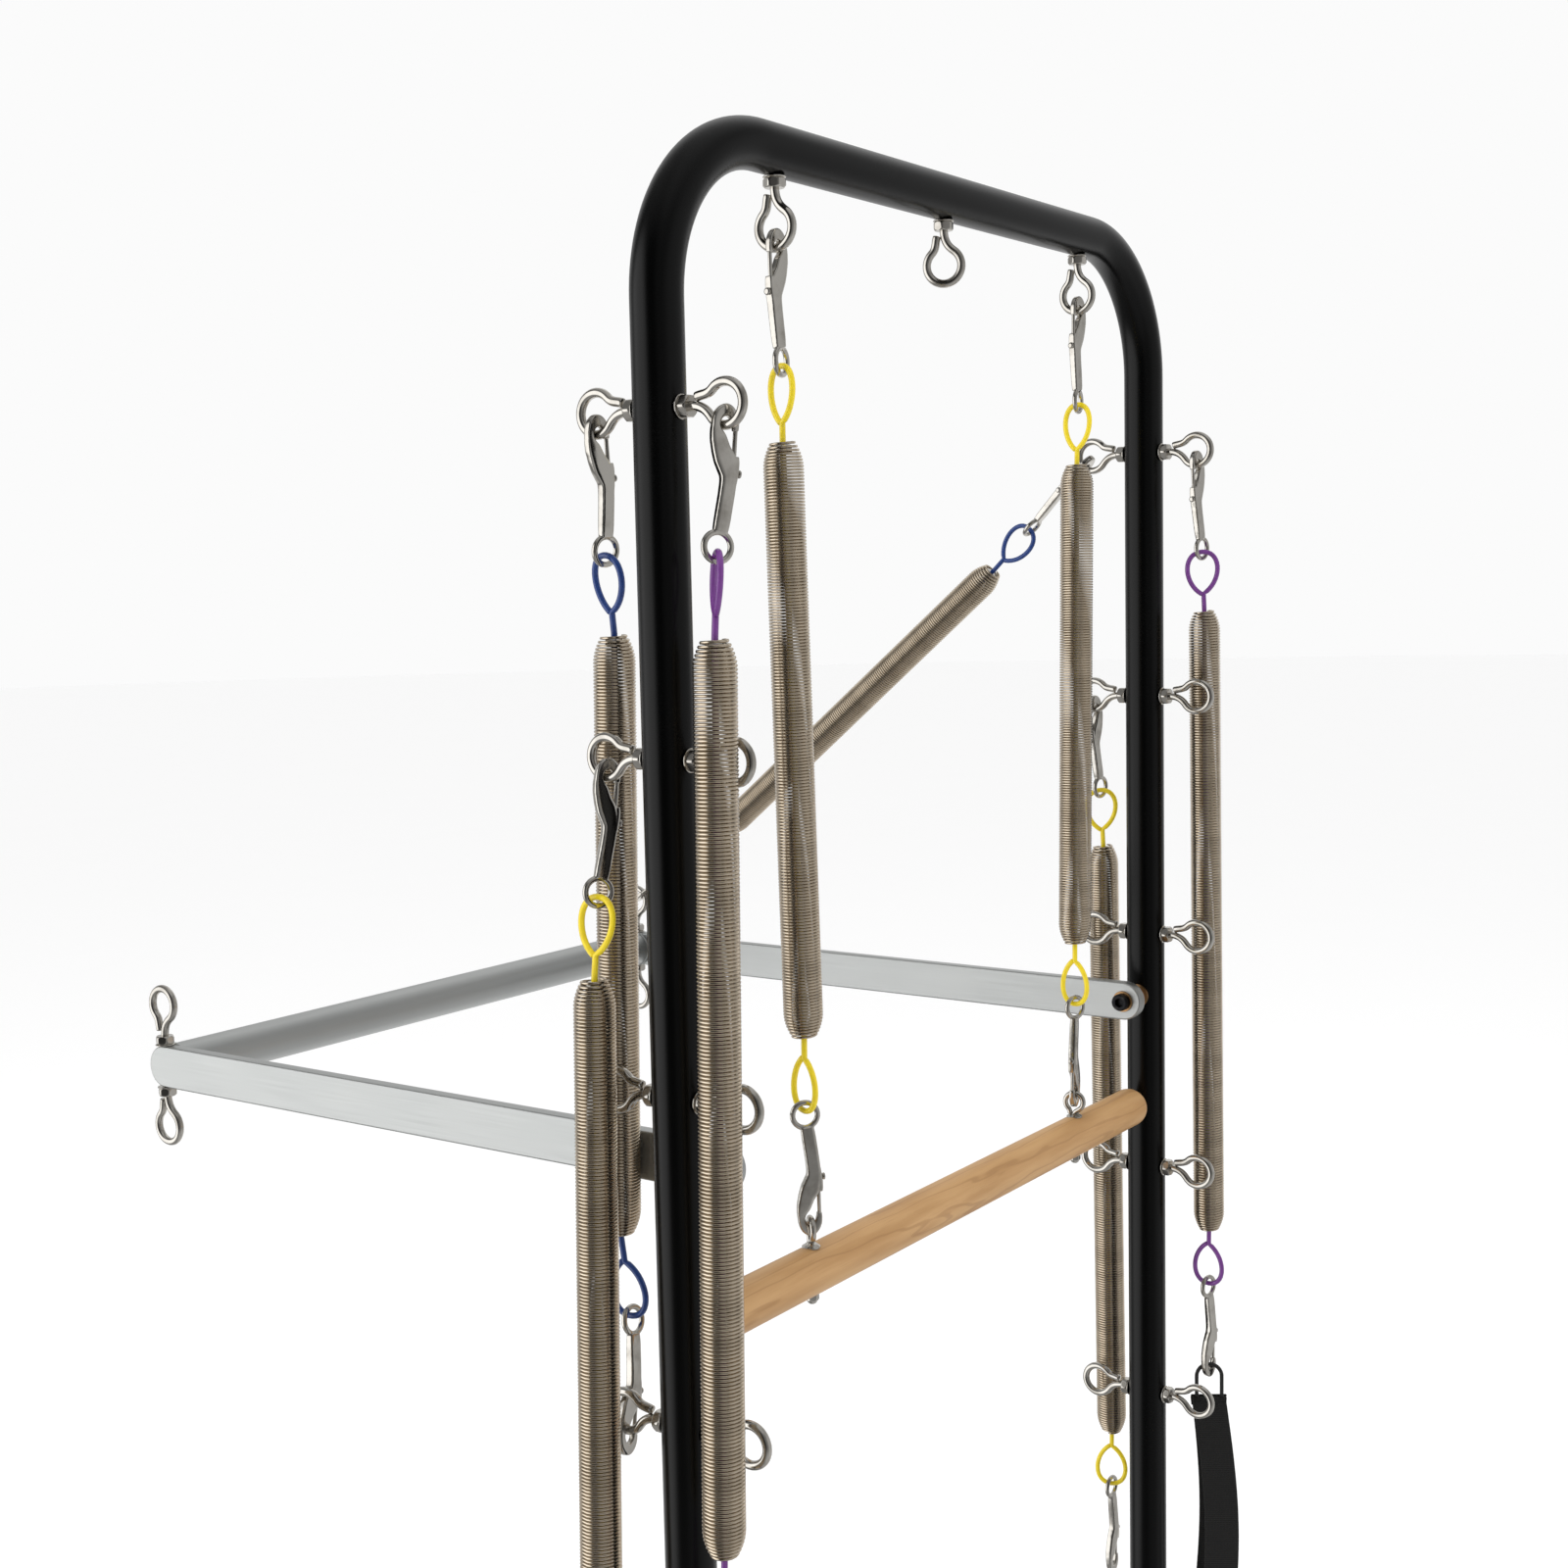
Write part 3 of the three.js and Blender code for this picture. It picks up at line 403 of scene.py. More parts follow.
def turningFrames(route, closed):
    # At each point of the route, two directions square to it that turn as little as they can
    along = headings(route, closed)
    first = np.cross(along[0], skew)
    normals = [first / np.linalg.norm(first)]
    for tangent in along[1:]:
        normal = normals[-1] - tangent * (normals[-1] @ tangent)
        normals.append(normal / np.linalg.norm(normal))
    normals = np.array(normals)
    return normals, np.cross(along, normals)


def swept(centre, first, second, across, deep, closed=False):
    # A skin round a centre line, whose points lie across and deep along two directions
    across, deep, along = np.broadcast_arrays(across, deep, lengthsAlong(centre)[:, None])
    rings = (
        centre[:, None, :] + np.asarray(first)[..., None, :] * across[:, :, None]
        + np.asarray(second)[..., None, :] * deep[:, :, None]
    )
    return skinned(rings, np.stack([along, across, deep], 2), closed)


def wireForm(route, radius, sides, closed=False, rounded=0.0):
    # A round wire along the route. With rounded, its ends are domed over that length.
    route = np.array(route, float)
    radii = np.full(len(route), float(radius))
    if rounded and not closed:
        angles = np.linspace(0, quarter, 5)[1:-1]
        dome, shrink = rounded * np.sin(angles), radius * np.cos(angles)
        head, tail = unitRows(route[[0, -1]] - route[[1, -2]])
        radii = np.concatenate([shrink[::-1], radii, shrink])
        route = np.vstack([route[0] + np.outer(dome[::-1], head), route, route[-1] + np.outer(dome, tail)])
    normals, sideways = turningFrames(route, closed)
    angle = circleAngles(sides)
    across, deep = radii[:, None] * np.cos(angle), radii[:, None] * np.sin(angle)
    return swept(route, normals, sideways, across, deep, closed)


# The least radius of a turned form, on its axis
thinnest = 0.001


def turnedForm(profile, sides, closed=False):
    # A profile of (radius, height) turned about local Z. A radius may differ from side to side.
    angle = circleAngles(sides)
    radius = np.array([np.broadcast_to(np.maximum(across, thinnest), sides) for across, _ in profile])
    height = np.array([at for _, at in profile], float)
    level = np.repeat(height[:, None], sides, 1)
    rings = np.stack([radius * np.cos(angle), radius * np.sin(angle), level], 2)
    return skinned(rings, rings[:, :, [2, 0, 1]], closed)


nutShape = {"sides": 48, "faceShare": 0.97, "cornerShare": 0.5774, "chamferShares": (0, 0.35, 0.7, 1)}


def hexagonReach(across, sides):
    # From the axis to the sides of a hexagon, at each of the angles round it
    angle = circleAngles(sides)
    return across / 2 / np.cos((angle + math.pi / 6) % (math.pi / 3) - math.pi / 6)


def nutForm(across, low, high, chamfer):
    # A hexagon whose corners are turned off at both ends
    face, corner = across / 2 * nutShape["faceShare"], across * nutShape["cornerShare"]
    hexagon = hexagonReach(across, nutShape["sides"])
    levels = []
    for share in nutShape["chamferShares"]:
        levels.append((low + chamfer * share, face + share * (corner - face)))
    levels += [(low + high - height, limit) for height, limit in levels[::-1]]
    profile = [(np.minimum(hexagon, limit), height) for height, limit in levels]
    return turnedForm(profile, nutShape["sides"])


def plateForm(outlines, thickness, edge):
    # A flat plate with holes and rounded edges, lying in local XY
    curve = bpy.data.curves.new("outline", "CURVE")
    curve.dimensions = "2D"
    curve.fill_mode = "BOTH"
    curve.extrude = thickness / 2 - edge
    curve.bevel_depth = edge
    curve.bevel_resolution = 3
    curve.offset = -edge
    for outline in outlines:
        spline = curve.splines.new("POLY")
        spline.points.add(len(outline) - 1)
        for point, (x, y) in zip(spline.points, outline):
            point.co = (x, y, 0, 1)
        spline.use_cyclic_u = True
    holder = bpy.data.objects.new("outline", curve)
    mesh = bpy.data.meshes.new_from_object(holder)
    form = formOf(mesh)
    bpy.data.objects.remove(holder)
    bpy.data.curves.remove(curve)
    bpy.data.meshes.remove(mesh)
    return form


def formOf(mesh):
    points = np.zeros(len(mesh.vertices) * 3)
    mesh.vertices.foreach_get("co", points)
    points = points.reshape(-1, 3)
    return points, [tuple(face.vertices) for face in mesh.polygons], points.copy()


def joined(*forms):
    points, faces, laid = [], [], []
    start = 0
    for formPoints, formFaces, formLaid in forms:
        faces += [tuple(index + start for index in face) for face in formFaces]
        points.append(formPoints)
        laid.append(formLaid)
        start += len(formPoints)
    return np.vstack(points), faces, np.vstack(laid)


def placed(form, matrix):
    points, faces, laid = form
    turn = np.array(matrix)
    moved = points @ turn[:3, :3].T + turn[:3, 3]
    if np.linalg.det(turn[:3, :3]) < 0:
        faces = [face[::-1] for face in faces]
    return moved, faces, laid


def shifted(form, x, y, z):
    return placed(form, Matrix.Translation((x, y, z)))


def placeAlong(origin, direction, azimuth):
    # Local Z along the direction, turned about it by an azimuth
    along = Vector(direction).normalized()
    sideways = Vector((math.cos(azimuth), math.sin(azimuth), 0))
    sideways = (sideways - along * sideways.dot(along)).normalized()
    across = along.cross(sideways)
    turn = Matrix((sideways, across, along)).transposed().to_4x4()
    return Matrix.Translation(Vector(origin)) @ turn


def cast(form, voxel, smoothing):
    # Melts overlapping forms into one skin with soft fillets, as a casting has
    holder = bpy.data.objects.new("casting", meshOf("casting", [(form, None)], 1.0, 180))
    bpy.context.scene.collection.objects.link(holder)
    remesh = holder.modifiers.new("melt", "REMESH")
    remesh.mode = "VOXEL"
    remesh.voxel_size = voxel
    soften = holder.modifiers.new("soften", "SMOOTH")
    soften.factor = 0.5
    soften.iterations = smoothing
    evaluated = holder.evaluated_get(bpy.context.evaluated_depsgraph_get())
    mesh = bpy.data.meshes.new_from_object(evaluated)
    made = formOf(mesh)
    bpy.data.objects.remove(holder)
    bpy.data.meshes.remove(mesh)
    return made


def meshOf(name, parts, scale, crease):
    # parts are (form, material) pairs
    points, faces, laid = joined(*[form for form, _ in parts])
    mesh = bpy.data.meshes.new(name)
    mesh.from_pydata((points * scale).tolist(), [], faces)
    stored = mesh.attributes.new("laidOut", "FLOAT_VECTOR", "POINT")
    stored.data.foreach_set("vector", laid.astype(np.float32).ravel())
    used = []
    slots = []
    for form, material in parts:
        if material not in used:
            used.append(material)
            mesh.materials.append(material)
        slots += [used.index(material)] * len(form[1])
    mesh.polygons.foreach_set("material_index", slots)
    mesh.validate()
    mesh.shade_smooth()
    if crease < 180:
        mesh.set_sharp_from_angle(angle=math.radians(crease))
    return mesh


def addPiece(name, nodes, body, finish, form, crease=40, others=()):
    # body is one CAD body, or (first, second, start, end) for a piece between two, whose mesh is only baked
    # in place.
    # others are (form, finish) pairs of the same piece.
    listed = [(form, finish[0])] + [(other, its[0]) for other, its in others]
    piece = bpy.data.objects.new(name, meshOf(name, listed, mm, crease))
    bpy.context.scene.collection.objects.link(piece)
    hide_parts(*nodes)
    if isinstance(body, str):
        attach(piece, body)
    else:
        first, second, start, end = body
        tuple(start * mm)
        tuple(end * mm)
        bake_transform(piece)
    return piece


# Frame tube and its feet
feet = {
    "width": 70, "depth": 60, "thickness": 8, "hole": 9, "inset": 13, "corner": 9, "edge": 1.2, "weld": 4.2,
}


def archRoute(low):
    bend, x = tower["bend"], tower["uprightX"]
    bendX, bendHeight = bend - x, topBarHeight - bend
    route = [(-x, 0, height) for height in np.linspace(low, bendHeight, 12)]
    for angle in np.linspace(math.pi, quarter, 33)[1:]:
        route.append((bendX + bend * math.cos(angle), 0, bendHeight + bend * math.sin(angle)))
    route += [(along, 0, topBarHeight) for along in np.linspace(bendX, 0, 8)[1:]]
    return route + [(-along, 0, z) for along, _, z in route[-2::-1]]


def hollowArch():
    sides = 56
    outer = wireForm(archRoute(feet["thickness"] / 2), tubeRadius, sides)
    inner = wireForm(archRoute(feet["thickness"] / 2), tubeRadius - tower["wall"], sides)
    outerFaces, innerFaces = outer[1][:-2], [face[::-1] for face in inner[1][:-2]]
    count = len(outer[0])
    faces = outerFaces + [tuple(index + count for index in face) for face in innerFaces]
    last = count - sides
    for side in range(sides):
        beside = (side + 1) % sides
        faces.append((beside, side, side + count, beside + count))
        faces.append((last + side, last + beside, last + beside + count, last + side + count))
    return np.vstack([outer[0], inner[0]]), faces, np.vstack([outer[2], inner[2]])


def roundedBox(width, depth, corner):
    outline = []
    for turn, (x, y) in enumerate([(1, 1), (-1, 1), (-1, -1), (1, -1)]):
        for angle in np.linspace(0, quarter, 7):
            at = angle + turn * quarter
            outline.append((
                x * (width / 2 - corner) + corner * math.cos(at),
                y * (depth / 2 - corner) + corner * math.sin(at),
            ))
    return outline


def circle(x, y, radius, sides=32):
    return [(x + radius * math.cos(angle), y + radius * math.sin(angle)) for angle in circleAngles(sides)]


# Points along and round a weld, how often and how far its drops swell, and its reach off the tube
weld = {"along": 192, "around": 10, "drops": 24, "swell": 0.12, "reachShare": 0.8}


def weldBead(radius, height, size):
    # Laid round the tube in small overlapping drops
    angles, around = circleAngles(weld["along"]), circleAngles(weld["around"])
    drop = size * (1 + weld["swell"] * np.abs(np.sin(angles * weld["drops"])))[:, None]
    centre = outwardAt(angles) * radius + np.array((0, 0, height))
    across, deep = drop * weld["reachShare"] * np.cos(around), drop * np.sin(around)
    return swept(centre, outwardAt(angles), up, across, deep, True)


def addFrameTube():
    forms = [hollowArch()]
    outlines = [roundedBox(feet["width"], feet["depth"], feet["corner"])]
    outlines.append(circle(0, 0, tubeRadius - tower["wall"]))
    reachX, reachY = feet["width"] / 2 - feet["inset"], feet["depth"] / 2 - feet["inset"]
    for x in (-1, 1):
        for y in (-1, 1):
            outlines.append(circle(x * reachX, y * reachY, feet["hole"] / 2))
    plate = plateForm(outlines, feet["thickness"], feet["edge"])
    for side in (-1, 1):
        forms.append(shifted(plate, side * tower["uprightX"], 0, feet["thickness"] / 2))
        bead = weldBead(tubeRadius, feet["thickness"], feet["weld"] / 2)
        forms.append(shifted(bead, side * tower["uprightX"], 0, 0))
    addPiece("frameTube", ["frame_tube"], "tower_frame", paint, joined(*forms))


addFrameTube()
print("frame tube made")


# Ring bolts: bent wire with its open end tucked beside the neck, a hexagon nut and a washer
ring = {
    "outer": 36.5, "wire": 7, "reach": 37.5, "nut": 15, "nutHeight": 8.5, "washer": 17.5,
    "washerHeight": 1.3, "shank": 16, "start": 1.2, "turn": 1.55, "lie": 0.84, "close": 0.6,
    "chamfer": 1.6, "edge": 0.4,
    "seat": 0.1, "nutLift": 0.3, "neckShare": 0.22, "neckPull": 0.42, "tipPull": 0.4,
    "tipWay": (0.3, 0, 0.95),
}
# Turns of the three rings under the top bar
topRingTurns = {"left": 1.6, "middle": 1.9, "right": 1.6}
ringRadius = (ring["outer"] - ring["wire"]) / 2


def eyeRoute(radius, reach, start, wire):
    # Up the shank, round the ring and back beside the neck. Angles run from the outermost point.
    first = ring["start"] * math.pi
    last = first + ring["turn"] * math.pi
    angles = np.linspace(first, last, 56)
    loop = [(radius * math.sin(angle), 0, start + reach + radius * math.cos(angle)) for angle in angles]
    entry, leave = Vector(loop[0]), Vector(loop[-1])
    base = Vector((0, 0, start + (reach - radius) * ring["neckShare"]))
    pull = (entry - base).length * ring["neckPull"]
    heading = Vector((math.cos(first), 0, -math.sin(first)))
    bend = bezier([base, base + up * pull, entry - heading * pull, entry], 14)[:-1]
    tip = Vector((wire * ring["lie"], 0, start + (reach - radius) * ring["close"]))
    outward = Vector((math.cos(last), 0, -math.sin(last)))
    pull = (leave - tip).length * ring["tipPull"]
    rest = bezier([leave, leave + outward * pull, tip + Vector(ring["tipWay"]) * pull, tip], 12)[1:]
    return [(0, 0, start)] + [tuple(point) for point in bend] + loop + [tuple(point) for point in rest]


def washerProfile(bore, outer, low, high):
    edge = ring["edge"]
    return [
        (bore, low), (outer - edge, low), (outer, low + edge), (outer, high - edge), (outer - edge, high),
        (bore, high),
    ]


def nutAndWasher(face, sign):
    washerTop = ring["washerHeight"]
    profile = washerProfile(ring["wire"] / 2, ring["washer"] / 2, ring["seat"], washerTop)
    washer = turnedForm(profile, 40, closed=True)
    nut = nutForm(ring["nut"], washerTop, ring["nutHeight"] + ring["nutLift"], ring["chamfer"])
    pair = shifted(joined(washer, nut), 0, 0, face)
    return pair if sign > 0 else placed(pair, Matrix.Scale(-1, 4, up))


def eyePair(thickness):
    half = thickness / 2
    route = eyeRoute(ringRadius, ring["reach"], half, ring["wire"])
    back = [(x, 0, -z) for x, _, z in reversed(route)]
    wire = wireForm(back + route, ring["wire"] / 2, 16, rounded=1.2)
    return joined(wire, nutAndWasher(half, 1), nutAndWasher(half, -1))


def singleEye():
    route = [(0, 0, -ring["shank"])] + eyeRoute(ringRadius, ring["reach"], 0, ring["wire"])
    return joined(wireForm(route, ring["wire"] / 2, 16, rounded=1.2), nutAndWasher(0, 1))


def addRings():
    pair = eyePair(tower["tube"])
    for side, label in ((-1, "left"), (1, "right")):
        for row in range(1, tower["rows"] + 1):
            turn = Matrix(((0, 1, 0), (0, 0, 1), (1, 0, 0))).to_4x4()
            place = Matrix.Translation((side * tower["uprightX"], 0, rowHeight(row))) @ turn
            node = f"eye_bolt_{label}_row_{row}"
            addPiece(f"ringBolt{label.title()}{row}", [node], "tower_frame", plating, placed(pair, place))
    single = singleEye()
    for place, label in ((-1, "left"), (0, "middle"), (1, "right")):
        head = (place * tower["topEyeSpacing"], 0, topBarUnderside)
        form = placed(single, placeAlong(head, (0, 0, -1), topRingTurns[label]))
        addPiece(f"topRing{label.title()}", [f"top_eye_{label}"], "tower_frame", plating, form)


addRings()
print("ring bolts made")


# Push-through bar
pushBar = {
    "pivotDrop": 549, "reach": 631, "height": 38, "thickness": 12, "edge": 1.6, "eyeSetback": 3,
    "tube": 38, "wall": 3, "bolt": 10, "head": 17, "headHeight": 9, "socket": 8, "bush": 24,
    "bushLength": 23, "washer": 21, "gap": 0.3, "seat": -1.6, "seatGap": 0.1, "knurl": 0.12,
    "crownEdges": (0.5, 1.4, 0.9),
    "crownInsets": (0.3, 1.2), "socketEdge": 0.5, "socketShare": 0.45, "bushEdge": 0.8, "bushRim": 3,
    "bushWaist": 2, "bushSlope": 0.6, "tail": 8, "weld": 1.7, "weldInset": 1.2,
}
pivotHeight = tower["topRow"] - pushBar["pivotDrop"]
armOuterX = tower["uprightX"] - tubeRadius - pushBar["bushLength"] - 2 * pushBar["gap"]
armInnerX = armOuterX - pushBar["thickness"]
armCentreX = armOuterX - pushBar["thickness"] / 2
cornerY = pushBar["reach"] + pushBar["eyeSetback"]


def armForm():
    radius, reach = pushBar["height"] / 2, pushBar["reach"]
    outline = []
    for centre, start in ((reach, -quarter), (0, quarter)):
        for angle in np.linspace(start, start + math.pi, 33):
            outline.append((centre + radius * math.cos(angle), radius * math.sin(angle)))
    hole = circle(0, 0, pushBar["bolt"] / 2 + pushBar["gap"], 24)
    return plateForm([outline, hole], pushBar["thickness"], pushBar["edge"])


def crossbarForm():
    outer, inner = pushBar["tube"] / 2, pushBar["tube"] / 2 - pushBar["wall"]
    half = armInnerX - pushBar["gap"]
    tube = turnedForm([(inner, -half), (outer, -half), (outer, half), (inner, half)], 64, closed=True)
    bead, at = weldBead(outer, 0, pushBar["weld"]), half - pushBar["weldInset"]
    return joined(tube, shifted(bead, 0, 0, at), shifted(bead, 0, 0, -at))


def pivotForms():
    # Drawn from the head's seat outwards: the head is below zero
    head, height = pushBar["head"] / 2, pushBar["headHeight"]
    hole, seat = pushBar["bolt"] / 2, pushBar["seat"]
    sides = 48
    lower, rim, crown = pushBar["crownEdges"]
    inset, top = pushBar["crownInsets"]
    hexagon, edge = hexagonReach(pushBar["socket"], sides), pushBar["socketEdge"]
    socketFloor = -height * pushBar["socketShare"]
    knurl = head + pushBar["knurl"] * np.where(np.arange(sides) % 2, 1, -1)
    cap = turnedForm([
        (hole, seat), (head, seat), (knurl, seat - lower), (knurl, rim - height),
        (head - inset, crown - height), (head - top, -height), (hexagon + edge, -height),
        (hexagon, edge - height), (hexagon, socketFloor), (0, socketFloor),
    ][::-1], sides)
    span = pushBar["thickness"] + 2 * pushBar["gap"]
    end = span + pushBar["bushLength"]
    tail = end + pushBar["tail"]
    shank = turnedForm([(0, seat), (hole, seat), (hole, tail), (0, tail)], 32)
    washer = washerProfile(hole, pushBar["washer"] / 2, seat, -pushBar["seatGap"])[::-1]
    bush, bushEdge, bushRim = pushBar["bush"] / 2, pushBar["bushEdge"], pushBar["bushRim"]
    bushSide = [
        (hole, 0), (bush - bushEdge, 0), (bush, bushEdge), (bush, bushRim),
        (bush - pushBar["bushWaist"], bushRim + pushBar["bushSlope"]),
    ]
    bushEnd = end - pushBar["gap"]
    profile = [(across, bushEnd - along) for across, along in bushSide]
    profile += [(across, span + along) for across, along in bushSide[::-1]]
    warm = [turnedForm(outline, sides, closed=True) for outline in (washer, profile)]
    return joined(cap, shank), joined(*warm)


def addPushBar():
    arm, pair = armForm(), eyePair(pushBar["height"])
    dark, warm = pivotForms()
    turn = Matrix(((0, 0, 1), (1, 0, 0), (0, 1, 0))).to_4x4()
    for side, label in ((-1, "left"), (1, "right")):
        name = label.title()
        armPlace = Matrix.Translation((side * armCentreX, 0, pivotHeight)) @ turn
        node = f"push_bar_arm_{label}"
        addPiece(f"pushBarArm{name}", [node], "push_bar", brushedArm, placed(arm, armPlace))
        eyePlace = placeAlong((side * armCentreX, cornerY, pivotHeight), up, quarter)
        node = f"push_bar_eye_{label}"
        addPiece(f"cornerRing{name}", [node], "push_bar", plating, placed(pair, eyePlace))
        seat = (side * (armInnerX - pushBar["gap"]), 0, pivotHeight)
        boltPlace = placeAlong(seat, (side, 0, 0), quarter)
        bush = [(placed(warm, boltPlace), bushMetal)]
        node = f"pivot_bolt_{label}"
        addPiece(f"pivotBolt{name}", [node], "tower_frame", darkBolt, placed(dark, boltPlace), 30, bush)
    across = placeAlong((0, pushBar["reach"], pivotHeight), (1, 0, 0), quarter)
    form = placed(crossbarForm(), across)
    addPiece("pushBarCrossbar", ["push_bar_crossbar"], "push_bar", brushedTube, form)


addPushBar()
print("push-through bar made")


# Springs: close-wound wire whose turns narrow and open towards each end
spring = {
    "outer": 31.5, "fill": 0.92, "end": 17.6, "taper": 21, "swell": 0.85, "endPitch": 3.3, "openTurns": 3,
    "steps": 16, "sides": 6,
}


def springRoute(length, pitch, wire):
    # Height and angle along the wire, the same from both ends
    opening = spring["openTurns"] * spring["endPitch"]
    height, angle, places = wire, 0.0, []
    stepTurn = 2 * math.pi / spring["steps"]
    while height < length / 2:
        places.append((height, angle))
        share = min((height - wire) / opening, 1)
        rise = spring["endPitch"] + (pitch - spring["endPitch"]) * share**0.5
        height += rise / spring["steps"]
        angle += stepTurn
    stretch = (length / 2 - wire) / (places[-1][0] - wire)
    lower = np.array([(wire + (height - wire) * stretch, angle) for height, angle in places])
    upper = np.array([(length - height, 2 * lower[-1, 1] - angle) for height, angle in lower[-2::-1]])
    return np.vstack([lower, upper])


def springForm(length, pitch):
    thick = pitch * spring["fill"] / 2
    height, angle = springRoute(length, pitch, thick).T
    fromEnd = np.minimum(height, length - height)
    share = np.sin(np.clip(fromEnd / spring["taper"], 0, 1) * quarter) ** spring["swell"]
    radius = (spring["end"] + (spring["outer"] - spring["end"]) * share) / 2 - thick
    wire = np.full((len(height), 1), thick)
    wire[[0, -1]] = thick / 2
    around = circleAngles(spring["sides"])
    centre = outwardAt(angle) * radius[:, None] + height[:, None] * np.array(up)
    across, deep = wire * np.cos(around), wire * np.sin(around)
    return swept(centre, outwardAt(angle), -up, across, deep), height


def addSpring(name, node, body, top, bottom, pitch):
    along = bottom - top
    form, height = springForm(along.length, pitch)
    piece = addPiece(name, [node], body, coilWire, placed(form, placeAlong(top, along, 0)), 180)
    if not isinstance(body, str):
        share = np.repeat(np.clip(height / along.length, 0, 1), spring["sides"])


# Safety cables: a loop at each end, a core through the spring and a steel stop inside each end
loop = {
    "wire": 4.8, "width": 33, "rollWidth": 28, "length": 42, "outShare": 1.4, "alongShare": 0.72,
    "tipShare": 1.4, "seat": 1.8, "stop": 13.5, "stopStart": 2.6, "stopLength": 7, "eyeFlat": 7.552,
    "returnShare": 0.45,
}
# The side of a stop: in from its outside and up from its start, then in and down from its end
stopStarts = [(2.5, 0), (0.6, 0.8), (0, 2.2)]
stopEnds = [(0, 1), (1, 0)]
tipShift = loop["eyeFlat"] - loop["wire"] / 2 - loop["seat"]


def loopRoute(eye, mouth, azimuth, width):
    towards = (mouth - eye).normalized()
    sideways = Vector((math.cos(azimuth), math.sin(azimuth), 0))
    sideways = (sideways - towards * sideways.dot(towards)).normalized()
    side = (width - loop["wire"]) / 2

    def place(across, along):
        return eye + sideways * across + towards * (tipShift + along)

    def flank(sign, start):
        return bezier([
            place(sign * start, loop["length"]),
            place(sign * side * loop["outShare"], loop["length"] * loop["alongShare"]),
            place(sign * side * loop["tipShare"], 0),
            place(0, 0),
        ], 18)

    return flank(1, 0) + flank(-1, loop["wire"] * loop["returnShare"])[-2::-1]


def cableForms(chain):
    top, bottom, width = chain["springTop"], chain["springBottom"], chain["loopWidth"]
    upper = loopRoute(chain["upperEye"], top, chain["loops"][0], width)
    lower = loopRoute(chain["lowerEye"], bottom, chain["loops"][1], width)[::-1]
    core = [bottom.lerp(top, share) for share in np.linspace(0, 1, 25)]
    wire = wireForm([tuple(point) for point in lower + core + upper], loop["wire"] / 2, 12, rounded=1.0)
    half, start, end = loop["stop"] / 2, loop["stopStart"], loop["stopStart"] + loop["stopLength"]
    profile = [(0, start)] + [(half - inward, start + rise) for inward, rise in stopStarts]
    profile += [(half - inward, end - fall) for inward, fall in stopEnds] + [(0, end)]
    stop = turnedForm(profile[::-1], 32)
    along = bottom - top
    stops = joined(placed(stop, placeAlong(top, along, 0)), placed(stop, placeAlong(bottom, -along, 0)))
    return wire, stops


# Bolt snaps, drawn with the hook's bearing at the origin and the eye up local Z
snap = {
    "eyeOuter": 24.6, "eyeHole": 15.4, "hookToEye": 87.4, "hookOffset": 1.5, "boltX": 8.8, "bolt": 3.2,
    "nose": 7.5, "lug": 37, "lugReach": 14.4, "voxel": 0.6, "gateLap": 1.5, "gateGap": 0.3,
}
# Radius and depth below its outer face, down the side of the thumb lug
lugSide = [(1.5, 2.6), (2.4, 2.2), (2.9, 1.1), (2.5, 0.3), (1.4, 0), (0, 0)]
# Across, along, width and thickness of the casting from the nose of the hook to the eye
hookStations = [
    (8.6, 8.4, 4.0, 4.6), (8.5, 4.6, 4.7, 5.2), (7.5, 0.0, 5.8, 5.6), (4.7, -4.0, 7.2, 6.0),
    (1.2, -5.4, 8.8, 6.2), (-2.7, -3.6, 7.8, 6.2), (-5.2, 0.4, 6.2, 6.2), (-6.0, 5.0, 5.8, 6.4),
    (-5.4, 9.4, 8.0, 6.8), (-3.9, 13.6, 11.0, 7.2), (-2.4, 18.0, 12.2, 7.4), (-0.8, 22.6, 13.4, 7.6),
    (1.6, 27.6, 15.0, 7.6), (3.8, 33.5, 13.8, 7.8), (5.2, 40.0, 11.6, 7.8), (4.6, 50.0, 11.2, 7.6),
    (3.3, 61.0, 11.2, 7.4), (2.1, 71.0, 11.2, 7.0), (1.2, 77.5, 10.4, 6.2),
]
barrelStations = [
    (9.4, 25.6, 4.8, 6.2), (9.4, 29, 5.6, 6.8), (9.0, 35, 6.2, 7.2), (8.0, 42, 6.4, 7.4),
    (6.2, 50, 7.0, 7.2),
]


def bladeForm(stations, spans, sides, squareness=0.42):
    # A solid with an oval section that follows the stations in the local XZ plane
    x, z, width, thickness = smoothRoute(stations, spans).T
    centre = np.stack([x, np.zeros(len(x)), z], 1)
    across = np.cross(headings(centre), (0, 1, 0))
    cosine, sine = np.cos(circleAngles(sides)), np.sin(circleAngles(sides))
    wide = np.sign(cosine) * np.abs(cosine) ** squareness * width[:, None] / 2
    deep = np.sign(sine) * np.abs(sine) ** squareness * thickness[:, None] / 2
    return swept(centre, across, (0, 1, 0), wide, deep)


def snapBoltForm(low):
    # The sliding gate and the round thumb lug on it
    x, radius, high = snap["boltX"], snap["bolt"] / 2, snap["lug"]
    gate = wireForm([(x, 0, low), (x, 0, (low + high) / 2), (x, 0, high)], radius, 16, rounded=0.8)
    height = snap["lugReach"] - x
    profile = [(0, 0), (lugSide[0][0], 0)] + [(across, height - below) for across, below in lugSide]
    return joined(gate, placed(turnedForm(profile, 24), placeAlong((x, 0, high), (1, 0, 0), quarter)))


castings = {}


